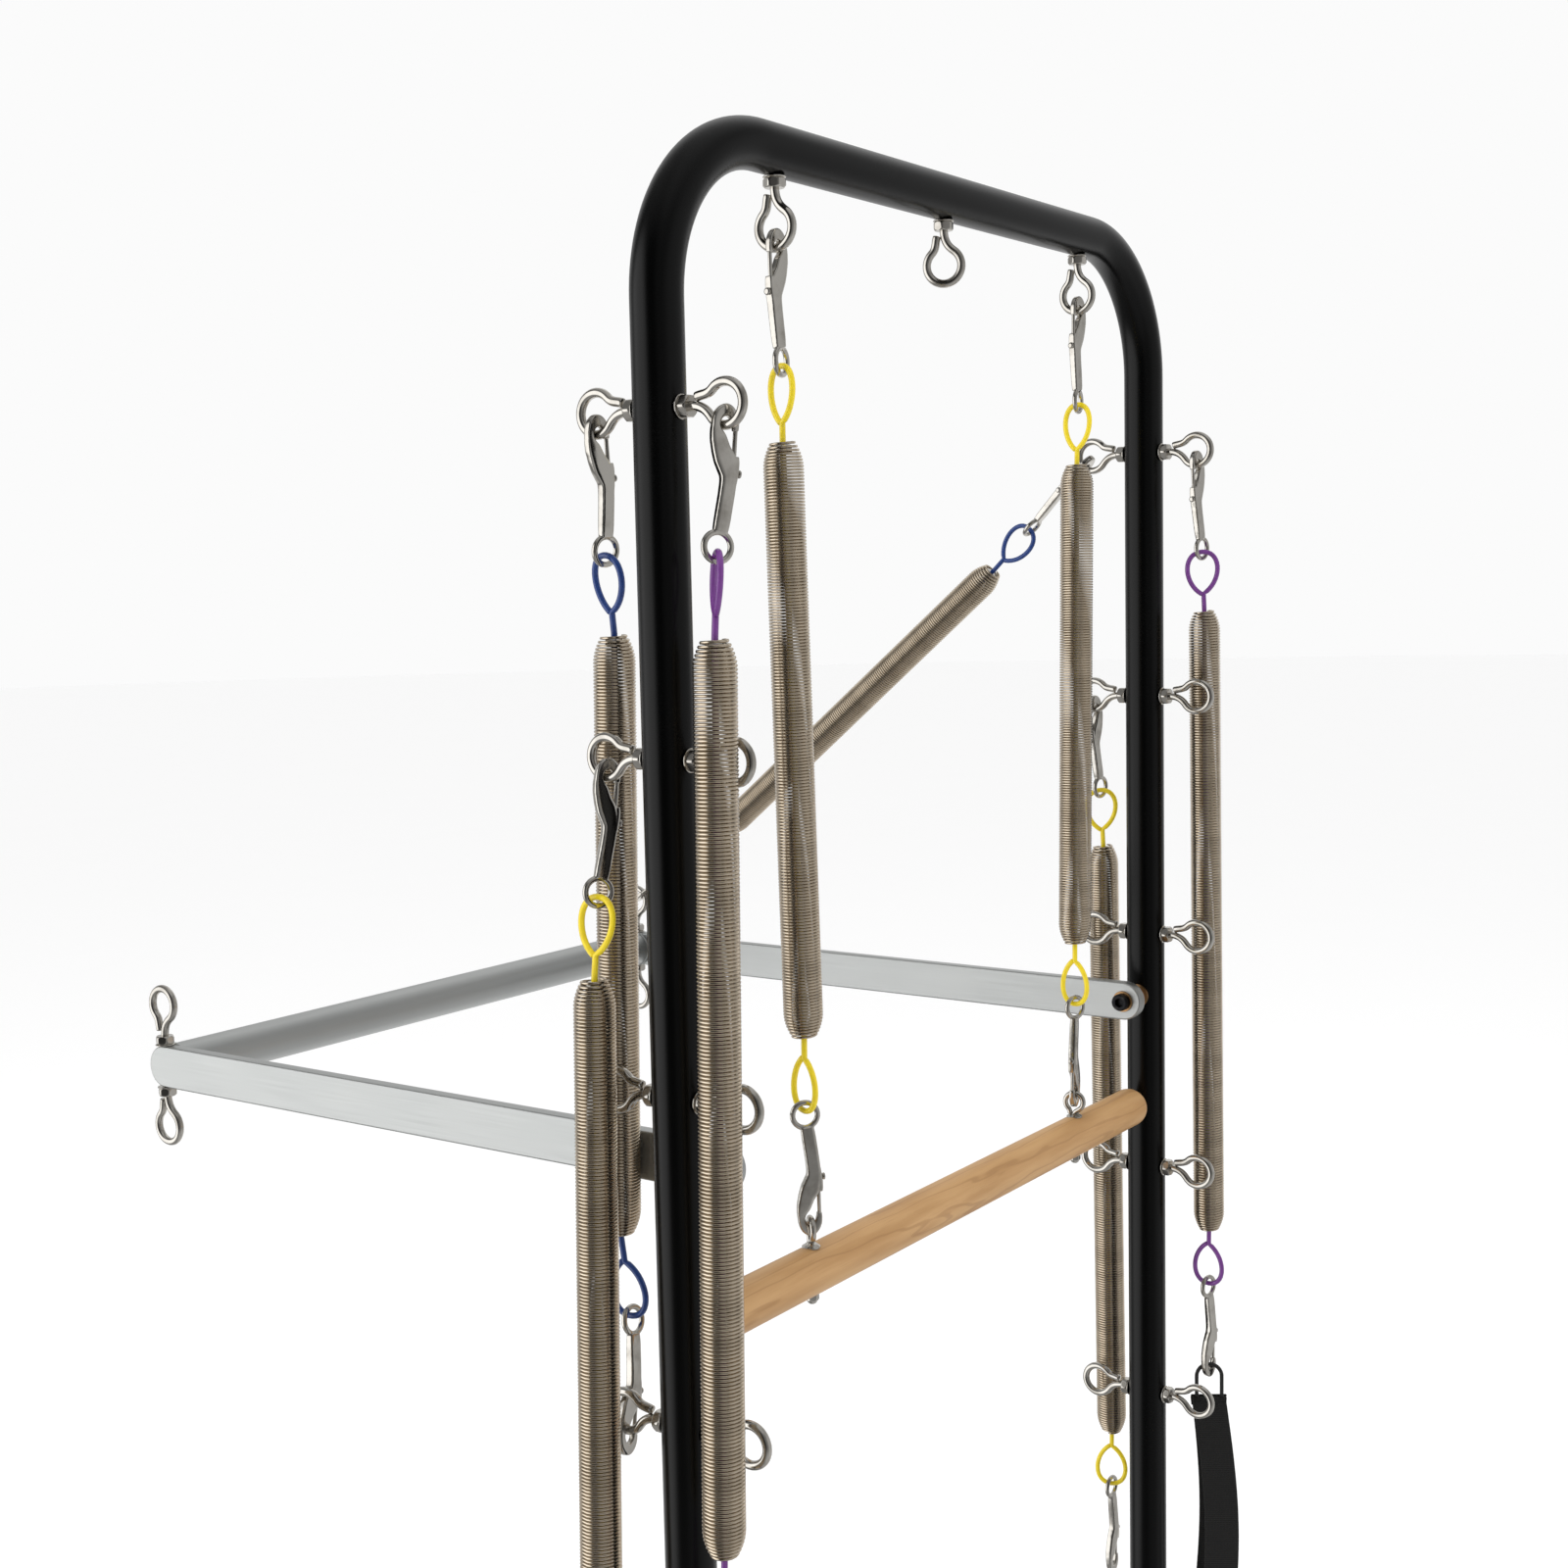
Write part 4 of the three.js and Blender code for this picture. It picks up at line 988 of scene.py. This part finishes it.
def snapForm(twist):
    # The eye is turned about the shank by the twist
    if twist not in castings:
        outer, hole = snap["eyeOuter"], snap["eyeHole"]
        route = [(x, 0, z) for x, z in circle(0, snap["hookToEye"], (outer + hole) / 4, 40)]
        eye = wireForm(route, (outer - hole) / 4, 14, closed=True)
        turned = placed(eye, Matrix.Rotation(twist, 4, up))
        whole = joined(bladeForm(hookStations, 4, 24), bladeForm(barrelStations, 4, 16), turned)
        castings[twist] = cast(whole, snap["voxel"], 2)
    return castings[twist]


snapGate = snapBoltForm(snap["nose"] - snap["gateLap"])
thumbGate = snapBoltForm(snap["nose"] + snap["gateGap"])


def snapPlace(wire, towardsEye, azimuth, slack):
    return placeAlong(wire, towardsEye, azimuth) @ Matrix.Translation((-snap["hookOffset"], 0, -slack))


def addSnap(name, node, body, place, twist, thumb=None):
    form = placed(snapForm(twist), place)
    if thumb:
        addPiece(f"{name}Thumb", [thumb[0]], thumb[1], plating, placed(thumbGate, place))
    else:
        form = joined(form, placed(snapGate, place))
    addPiece(name, [node], body, plating, form, 60)


# Chains: upper snap, cable and spring, lower snap
chains = {
    "hookGap": 1.3, "eyeToSpring": 61.5, "springLength": 642, "rest": 0.6, "leftArmRest": 4.4,
    "strapCord": 4, "sag": 0.09,
}
# Turn to turn along each kind of spring
pitches = {"leg": 2.74, "arm": 2.63, "roll": 2.42, "stored": 2.5, "hold": 2.5}
bearing = ring["wire"] / 2 + chains["hookGap"]
strapBearing = chains["strapCord"] / 2 + chains["hookGap"]
connector = snap["hookToEye"] - ring["wire"] / 2 - chains["hookGap"] + chains["eyeToSpring"]


def addChain(name, coat, bodies, wires, springs, hooks, loops, **other):
    # bodies are those of the upper snap, of the cable and spring, and of the lower snap
    upperWire, lowerWire = wires
    springTop, springBottom = springs
    twists = other.get("twists", (0, 0))
    upperPlace = snapPlace(upperWire, springTop - upperWire, hooks[0], bearing)
    lowerWay = other.get("lowerWay", springBottom - lowerWire)
    lowerPlace = snapPlace(lowerWire, lowerWay, hooks[1], other.get("slack", bearing))
    eye = Vector((0, 0, snap["hookToEye"]))
    chain = {
        "springTop": springTop, "springBottom": springBottom, "loops": loops,
        "loopWidth": other.get("loopWidth", loop["width"]),
        "upperEye": upperPlace @ eye, "lowerEye": lowerPlace @ eye,
    }
    title = "".join(word.title() for word in name.split("_"))
    title = title[0].lower() + title[1:]
    addSnap(f"{title}UpperSnap", f"{name}_upper_snap", bodies[0], upperPlace, twists[0])
    wire, stops = cableForms(chain)
    middle = bodies[1]
    if isinstance(middle, tuple):
        middle = (*middle, springTop, springBottom)
    addPiece(f"{title}Cable", [f"{name}_safety_cable"], middle, coat, wire, 60, [(stops, plating)])
    pitch = pitches[name.split("_")[0]]
    addSpring(f"{title}Spring", f"{name}_spring", middle, springTop, springBottom, pitch)
    addSnap(f"{title}LowerSnap", f"{name}_lower_snap", bodies[2], lowerPlace, twists[1], other.get("thumb"))


def hangingChain(side, row, front, rest, tilt):
    # From a ring of an upright, leaning outside the ring below it
    length = chains["springLength"]
    y = front * (tubeRadius + ring["reach"])
    upperWire = Vector((side * tower["uprightX"], y, rowHeight(row) - ringRadius))
    nextRingTop = rowHeight(row + 1) + ring["outer"] / 2
    clear = ring["wire"] / 2 + spring["outer"] / 2 + rest
    leanTop = clear - tilt * (upperWire.z - connector - nextRingTop)
    leanBottom = leanTop + length * math.sin(tilt)
    springTop = upperWire + Vector((side * leanTop, 0, -math.sqrt(connector**2 - leanTop**2)))
    springBottom = springTop + Vector((0, 0, -length * math.cos(tilt)))
    springBottom.x = side * (tower["uprightX"] + leanBottom)
    return (upperWire, springBottom - Vector((0, 0, connector))), (springTop, springBottom)


# Foot straps: webbing folded into a long loop, sewn over a cord loop at the head
strap = {
    "width": 35, "thickness": 1.9, "room": 2.5, "drop": 262, "bulge": 44, "cord": 4, "cordWidth": 26,
    "cordLength": 40, "fold": 86, "foldWidth": 37, "foldStart": 3, "foldSpare": 6, "foldLiftShare": 1.05,
    "turn": -1.0, "sway": 10, "edgeShares": (0.45, 0.135, 0.375),
}
stitch = {
    "start": 6, "pitch": 3.6, "length": 2.6, "radius": 0.42, "round": 0.3, "liftShare": 1.62, "inset": 3,
}


def cordRoute():
    side, low, corner = strap["cordWidth"] / 2, -strap["cordLength"], strap["cord"]
    half = []
    for angle in np.linspace(0, quarter, 12):
        half.append((side * math.sin(angle), 0, side * (math.cos(angle) - 1)))
    half += [(side, 0, height) for height in np.linspace(-side, low + corner, 5)[1:]]
    for angle in np.linspace(0, quarter, 6)[1:]:
        half.append((side - corner + corner * math.cos(angle), 0, low + corner - corner * math.sin(angle)))
    return half + [(-x, 0, z) for x, _, z in half[:0:-1]]


def strapRoute():
    # The webbing's mid-line seen from its edge, from the sewn fold down and round
    seam = strap["room"] + strap["cord"] / 2
    top = seam - strap["cordLength"]
    inset = strap["thickness"] / 2
    half, neck, drop = strap["bulge"] / 2 - inset, seam - inset, strap["drop"]
    bottom = top - drop + inset
    side = [
        (neck * 0.75, top - neck * 0.35), (neck, top - neck), (neck, top - 3 * neck),
        (half * 0.8, top - drop * 0.45), (half, top - drop * 0.75), (half * 0.7, bottom + half * 0.4),
    ]
    seat = [(0, top - inset)]
    points = seat + side + [(0, bottom)] + [(-x, z) for x, z in side[::-1]] + seat
    return smoothRoute(points, 9)[:-1]


def swayAt(height):
    # How far the hanging loop drifts sideways on its way down
    depth = np.clip((-strap["cordLength"] - height) / strap["drop"], 0, 1)
    return strap["sway"] * np.sin(math.pi * depth)


def webForm(route, width, thickness, closed, offset=0.0):
    # A flat band that follows the route in the local YZ plane, its width along local X
    centre = np.stack([swayAt(route[:, 1]), route[:, 0], route[:, 1]], 1)
    outward = unitRows(np.cross((1, 0, 0), headings(centre, closed)))
    half, thick = width / 2, thickness / 2
    edge, bevel, shoulder = (thickness * share for share in strap["edgeShares"])
    lower = np.array([
        (-half, 0), (-half + bevel, -shoulder), (-half + edge, -thick), (-half / 2, -thick), (0, -thick),
        (half / 2, -thick), (half - edge, -thick), (half - bevel, -shoulder),
    ])
    across, depth = np.vstack([lower, -lower]).T
    band = swept(centre, (1, 0, 0), outward, across[None, :], depth[None, :] + offset, closed)
    return band, lengthsAlong(centre)[-1]


def stitchForm(route, across, reach):
    # A run of short stitches that stand a little proud of the folded webbing
    forms = []
    lengths, lift = lengthsAlong(route), strap["thickness"] * stitch["liftShare"]
    for start in np.arange(stitch["start"], reach, stitch["pitch"]):
        ends = []
        for at in np.linspace(start, start + stitch["length"], 3):
            y, z = (np.interp(at, lengths, route[:, axis]) for axis in (0, 1))
            ends.append((across + swayAt(z), y + lift, z))
        forms.append(wireForm(ends, stitch["radius"], 6, rounded=stitch["round"]))
    return joined(*forms)


def addStrap(label, lowerWire):
    place = placeAlong(lowerWire, up, strap["turn"])
    name, node, body = f"footStrap{label.title()}", f"foot_strap_{label}", f"leg_strap_{label}"
    cord = wireForm(cordRoute(), strap["cord"] / 2, 14, closed=True)
    cordPiece = addPiece(f"{name}Cord", [node], body, strapCord, placed(cord, place), 60)
    route = strapRoute()
    band, length = webForm(route, strap["width"], strap["thickness"], True)
    bandPiece = addPiece(name, [node], body, strapWeb, placed(band, place), 60)
    # The end that is folded back outside the loop and sewn down
    lift = strap["thickness"] * strap["foldLiftShare"]
    lap = route[strap["foldStart"]:][:int(strap["fold"] / length * len(route)) + strap["foldSpare"]]
    fold, foldLength = webForm(lap, strap["foldWidth"], strap["thickness"], False, lift)
    reach = strap["width"] / 2 - stitch["inset"]
    last = foldLength - stitch["start"]
    stitches = joined(stitchForm(lap, -reach, last), stitchForm(lap, reach, last))
    sewn = [(placed(stitches, place), strapCord)]
    foldPiece = addPiece(f"{name}Fold", [node], body, strapWeb, placed(fold, place), 60, sewn)
    length * mm


# Side, its name, the spring's tilt, and the turns of the upper hook and the upper loop
legPlaces = ((-1, "left", 0.024, -0.5, 0.8), (1, "right", 0.016, 3.0, -1))
armPlaces = ((-1, "left", 0.03, -0.45, -1.6), (1, "right", 0.019, 3.0, -1))
lowerTurns = {"legHook": -0.2, "legLoop": -1.6, "armHook": -0.03, "armLoop": -1.2}


def addLegChains():
    for side, label, tilt, hook, upperLoop in legPlaces:
        wires, springs = hangingChain(side, 1, -1, chains["rest"], tilt)
        chain, foot, thumb = f"leg_chain_{label}", f"leg_strap_{label}", f"leg_thumb_{label}"
        addChain(
            f"leg_{label}", purpleCoat, (chain, (chain, foot), foot), wires, springs,
            (hook, lowerTurns["legHook"]), (upperLoop, lowerTurns["legLoop"]), slack=strapBearing,
            thumb=(f"leg_{label}_thumb_bolt", thumb),
        )
        addStrap(label, wires[1])


def addArmChains():
    for side, label, tilt, hook, upperLoop in armPlaces:
        rest = chains["leftArmRest"] if side < 0 else chains["rest"]
        wires, springs = hangingChain(side, 2, 1, rest, tilt)
        chain, end = f"arm_chain_{label}", f"arm_hook_{label}"
        hooks, loops = (hook, lowerTurns["armHook"]), (upperLoop, lowerTurns["armLoop"])
        addChain(f"arm_{label}", yellowCoat, (chain, (chain, end), end), wires, springs, hooks, loops)


stored = {
    "inset": 26, "setbackTop": 11.8, "setbackBottom": 22.8, "length": 451.5, "slack": 3.6, "lean": 0.4,
    "snapSetback": 0.2, "rows": 3, "hooks": (-0.2, 0), "loops": (-1.78, -1.5),
}


def addStoredChain():
    # Its lower hook goes round the bottom of its ring and leans past the top of it
    y, inset = tubeRadius + ring["reach"], stored["inset"]
    upperWire = Vector((-tower["uprightX"], y, rowHeight(1) - ringRadius))
    lowerWire = Vector((-tower["uprightX"], y, rowHeight(1 + stored["rows"]) - ringRadius))
    drop = math.sqrt(connector**2 - inset**2 - stored["setbackTop"] ** 2)
    springTop = upperWire + Vector((inset, stored["setbackTop"], -drop))
    setback = stored["setbackBottom"] - stored["setbackTop"]
    springBottom = springTop + Vector((0, setback, -math.sqrt(stored["length"] ** 2 - setback**2)))
    addChain(
        "stored", blueCoat, ("tower_frame",) * 3, (upperWire, lowerWire), (springTop, springBottom),
        stored["hooks"], stored["loops"], slack=bearing + stored["slack"],
        lowerWay=Vector((stored["lean"], stored["snapSetback"], 1)),
    )


def addHoldUpChain():
    # The straight middle of a chain whose two ends sag a little
    ringCentre = Vector((tower["uprightX"], tubeRadius + ring["reach"], rowHeight(1)))
    cornerRing = Vector((armCentreX, cornerY, pivotHeight + pushBar["height"] / 2 + ring["reach"]))
    span = cornerRing - ringCentre
    inRingPlane = Vector((0, span.y, span.z)).normalized()
    drooped = Matrix.Rotation(-chains["sag"], 3, "X")
    raised = Matrix.Rotation(chains["sag"], 3, "X")
    upperWire = ringCentre + drooped @ inRingPlane * ringRadius
    lowerWire = cornerRing - raised @ inRingPlane * ringRadius
    along = (lowerWire - upperWire).normalized()
    springs = (upperWire + drooped @ along * connector, lowerWire - raised @ along * connector)
    bodies = ("hold_up_chain", ("hold_up_chain", "hold_up_cable"), "hold_up_hook")
    hooks, loops = (math.pi, math.pi), (quarter, quarter)
    addChain("hold_up", blueCoat, bodies, (upperWire, lowerWire), springs, hooks, loops)


addLegChains()
addArmChains()
addStoredChain()
addHoldUpChain()
print("leg, arm, stored and hold-up springs made")


# Roll-down bar and its two springs
rollDown = {
    "diameter": 38, "length": 726, "eyeSpacing": 227, "ringOuter": 22.5, "ringWire": 5, "ringReach": 14,
    "nut": 10, "nutHeight": 5, "round": 16, "springLength": 459, "draw": 3,
    "twist": -0.55, "eyeTurn": -0.25, "upperHook": 3.06, "shankEnd": 3, "seat": 0.3, "nutChamfer": 1.0,
    "dome": (4.2, 3.4), "domeBase": 1,
}
# Radius and height up the side of the flange under each eye of the bar
flangeSide = [(0, -0.8), (7.5, -0.5), (7.5, 0.5), (5.9, 1.5), (3.6, 3.3), (0, 3.3)]
rollRingRadius = (rollDown["ringOuter"] - rollDown["ringWire"]) / 2
rollWire = rollDown["ringWire"] / 2 + chains["hookGap"]
rollConnector = snap["hookToEye"] - rollWire + chains["eyeToSpring"]
rollUpperConnector = connector - rollDown["draw"]


def dowelForm():
    radius, half, rounding = rollDown["diameter"] / 2, rollDown["length"] / 2, rollDown["round"]
    end = [(0, half)]
    for angle in np.linspace(0, quarter, 10):
        inward, back = rounding * (1 - math.sin(angle)), rounding * (1 - math.cos(angle))
        end.append((radius - inward, half - back))
    middle = [(radius, height) for height in np.linspace(half - rounding, rounding - half, 24)[1:-1]]
    profile = end + middle + [(across, -along) for across, along in end[::-1]]
    return turnedForm(profile[::-1], 64)


def rollEyeForm():
    # The ring stands on a flange, and an acorn nut closes the shank below the wood
    below, wireWide = -rollDown["diameter"], rollDown["ringWire"]
    route = [(0, 0, below - rollDown["shankEnd"])]
    route += eyeRoute(rollRingRadius, rollDown["ringReach"], 0, wireWide)
    wire = wireForm(route, wireWide / 2, 14, rounded=0.8)
    nutTop = below - rollDown["seat"]
    nutLow = nutTop - rollDown["nutHeight"]
    nut = nutForm(rollDown["nut"], nutLow, nutTop, rollDown["nutChamfer"])
    wide, tall = rollDown["dome"]
    dome = []
    for angle in np.linspace(quarter, 0, 8):
        dome.append((wide * math.cos(angle), nutLow - tall * math.sin(angle)))
    acorn = turnedForm(dome + [(0, nutLow + rollDown["domeBase"])], 28)
    return joined(wire, turnedForm(flangeSide, 36), nut, acorn)


# Side, its name, the turn of its eye on the bar, the turns of the loops and the twists of the snaps' eyes
rollPlaces = (
    (-1, "left", 0.82, (-1.82, -1.8), (rollDown["eyeTurn"], 0)),
    (1, "right", 1.76, (-1.54, -1.5), (rollDown["eyeTurn"], rollDown["twist"])),
)


def addRollDown():
    # Each chain is a straight line from its ring under the top bar to its eye on the bar
    barTop = 0
    chainLength = rollUpperConnector + rollDown["springLength"] + rollConnector
    inward = (tower["topEyeSpacing"] - rollDown["eyeSpacing"]) / chainLength
    bodies = ("roll_down_springs", ("roll_down_springs", "roll_down_bar"), "roll_down_bar")
    for side, label, eyeAngle, loops, twists in rollPlaces:
        upperWire = Vector((side * tower["topEyeSpacing"], 0, topBarUnderside - ring["reach"] - ringRadius))
        along = Vector((-side * inward, 0, -math.sqrt(1 - inward**2)))
        springTop = upperWire + along * rollUpperConnector
        springBottom = springTop + along * rollDown["springLength"]
        lowerWire = springBottom + along * rollConnector
        addChain(
            f"roll_{label}", yellowCoat, bodies, (upperWire, lowerWire), (springTop, springBottom),
            (rollDown["upperHook"], eyeAngle + side * quarter), loops,
            slack=rollWire, loopWidth=loop["rollWidth"], twists=twists,
        )
        barTop = lowerWire.z - rollRingRadius - rollDown["ringReach"]
        foot = (side * rollDown["eyeSpacing"], 0, barTop)
        form = placed(rollEyeForm(), placeAlong(foot, up, eyeAngle))
        addPiece(f"barRing{label.title()}", [f"roll_bar_eye_{label}"], "roll_down_bar", plating, form)
    centre = Vector((0, 0, barTop - rollDown["diameter"] / 2))
    form = placed(dowelForm(), placeAlong(centre, (1, 0, 0), quarter))
    addPiece("rollDownBar", ["roll_down_bar"], "roll_down_bar", wood, form)


addRollDown()
print("roll-down bar made")


# Floor and light
studio = {
    "floorRadius": 30000, "floorTone": (0.985, 0.985, 0.985), "floorShade": (0.978, 0.978, 0.978),
    "seen": 0.965, "diffuse": 0.975, "dark": 0.03, "side": 0.18, "backdrop": 0.62, "leftPanel": 1.7,
    "rightPanel": 0.3, "ceiling": 0.35, "ground": 0.3, "floorGap": 0.0005,
}
# Between these shares of its direction each part of the mirrored room fades in or out
skySteps = {
    "backdrop": (-0.75, -0.3), "side": (-0.15, 0.25), "leftPanel": (0.74, 0.93), "rightPanel": (0.6, 0.95),
    "ceiling": (0.5, 0.95), "ground": (-0.75, -0.15),
}
towardsCamera = (-0.814, -0.572, 0.0)
towardsLeft = (-0.575, 0.82, 0.0)
leftPanelAim = (-0.72, 0.69, 0.0)
rightPanelAim = (0.40, -0.915, 0.0)


def addFloor():
    radius = studio["floorRadius"]
    form = turnedForm([(0, -10), (radius, -10), (radius, 0), (0, 0)], 96)
    finish = Finish("paleFloor", {"Metallic": 0.0, "Specular IOR Level": 0.0})
    cloud = finish.place.noise(2.5, 3)
    finish.feed("Base Color", cloud.mix(studio["floorTone"], studio["floorShade"]))
    finish.feed("Roughness", 0.8 + cloud * 0.1)
    floor = bpy.data.objects.new("paleFloor", meshOf("paleFloor", [(form, finish.material)], mm, 30))
    floor.location.z = -studio["floorGap"]
    floor.visible_glossy = False
    bpy.context.scene.collection.objects.link(floor)


def addSky():
    # White walls behind the tower, a soft panel on each side and a darker room behind the camera
    world = bpy.data.worlds.new("studioSky")
    world.use_nodes = True
    tree = world.node_tree
    tree.nodes.clear()
    wire = Wire(tree)
    output = tree.nodes.new("ShaderNodeOutputWorld")
    direction = wire.node("ShaderNodeTexCoord", {}, {}, "Generated")

    def facing(aim):
        sockets = {0: direction, 1: aim}
        return wire.node("ShaderNodeVectorMath", {"operation": "DOT_PRODUCT"}, sockets, "Value")

    high = direction.part("Z")
    ways = {
        "side": facing(towardsLeft), "backdrop": facing(towardsCamera), "leftPanel": facing(leftPanelAim),
        "rightPanel": facing(rightPanelAim), "ceiling": high, "ground": high,
    }
    mirrored = studio["dark"]
    for name, way in ways.items():
        shown = way.step(*skySteps[name])
        if name in ("side", "backdrop", "ground"):
            shown = 1 - shown
        mirrored = mirrored + shown * studio[name]
    white = (1, 1, 1, 1)
    shine = wire.node("ShaderNodeBackground", {}, {"Color": white, "Strength": mirrored})
    soft = wire.node("ShaderNodeBackground", {}, {"Color": white, "Strength": studio["diffuse"]})
    seen = wire.node("ShaderNodeBackground", {}, {"Color": white, "Strength": studio["seen"]})
    diffuseRay = wire.node("ShaderNodeLightPath", {}, {}, "Is Diffuse Ray")
    cameraRay = wire.node("ShaderNodeLightPath", {}, {}, "Is Camera Ray")
    lit = wire.node("ShaderNodeMixShader", {}, {0: diffuseRay, 1: shine, 2: soft})
    mixed = wire.node("ShaderNodeMixShader", {}, {0: cameraRay, 1: lit, 2: seen})
    tree.links.new(mixed.socket, output.inputs["Surface"])
    bpy.context.scene.world = world


# Name, place and aim in metres, width, height and power in watts
lamps = [
    ("leftPanel", (-2.6, 2.6, 1.9), (0, 0, 1.0), 1.3, 2.4, 26),
    ("rightPanel", (1.4, -3.2, 2.0), (0, 0, 1.0), 1.2, 2.2, 14),
    ("overhead", (-0.4, -0.4, 3.8), (0, 0, 0.8), 2.4, 2.4, 24),
]


def addLamps():
    for name, place, aim, width, height, power in lamps:
        data = bpy.data.lights.new(name, "AREA")
        data.shape = "RECTANGLE"
        data.size, data.size_y, data.energy = width, height, power
        lamp = bpy.data.objects.new(name, data)
        away = Vector(place) - Vector(aim)
        lamp.visible_glossy = False
        lamp.matrix_world = Matrix.Translation(place) @ away.to_track_quat("Z", "Y").to_matrix().to_4x4()
        bpy.context.scene.collection.objects.link(lamp)


addFloor()
addSky()
addLamps()
bpy.context.scene.view_settings.view_transform = "Standard"
print("floor and light made")
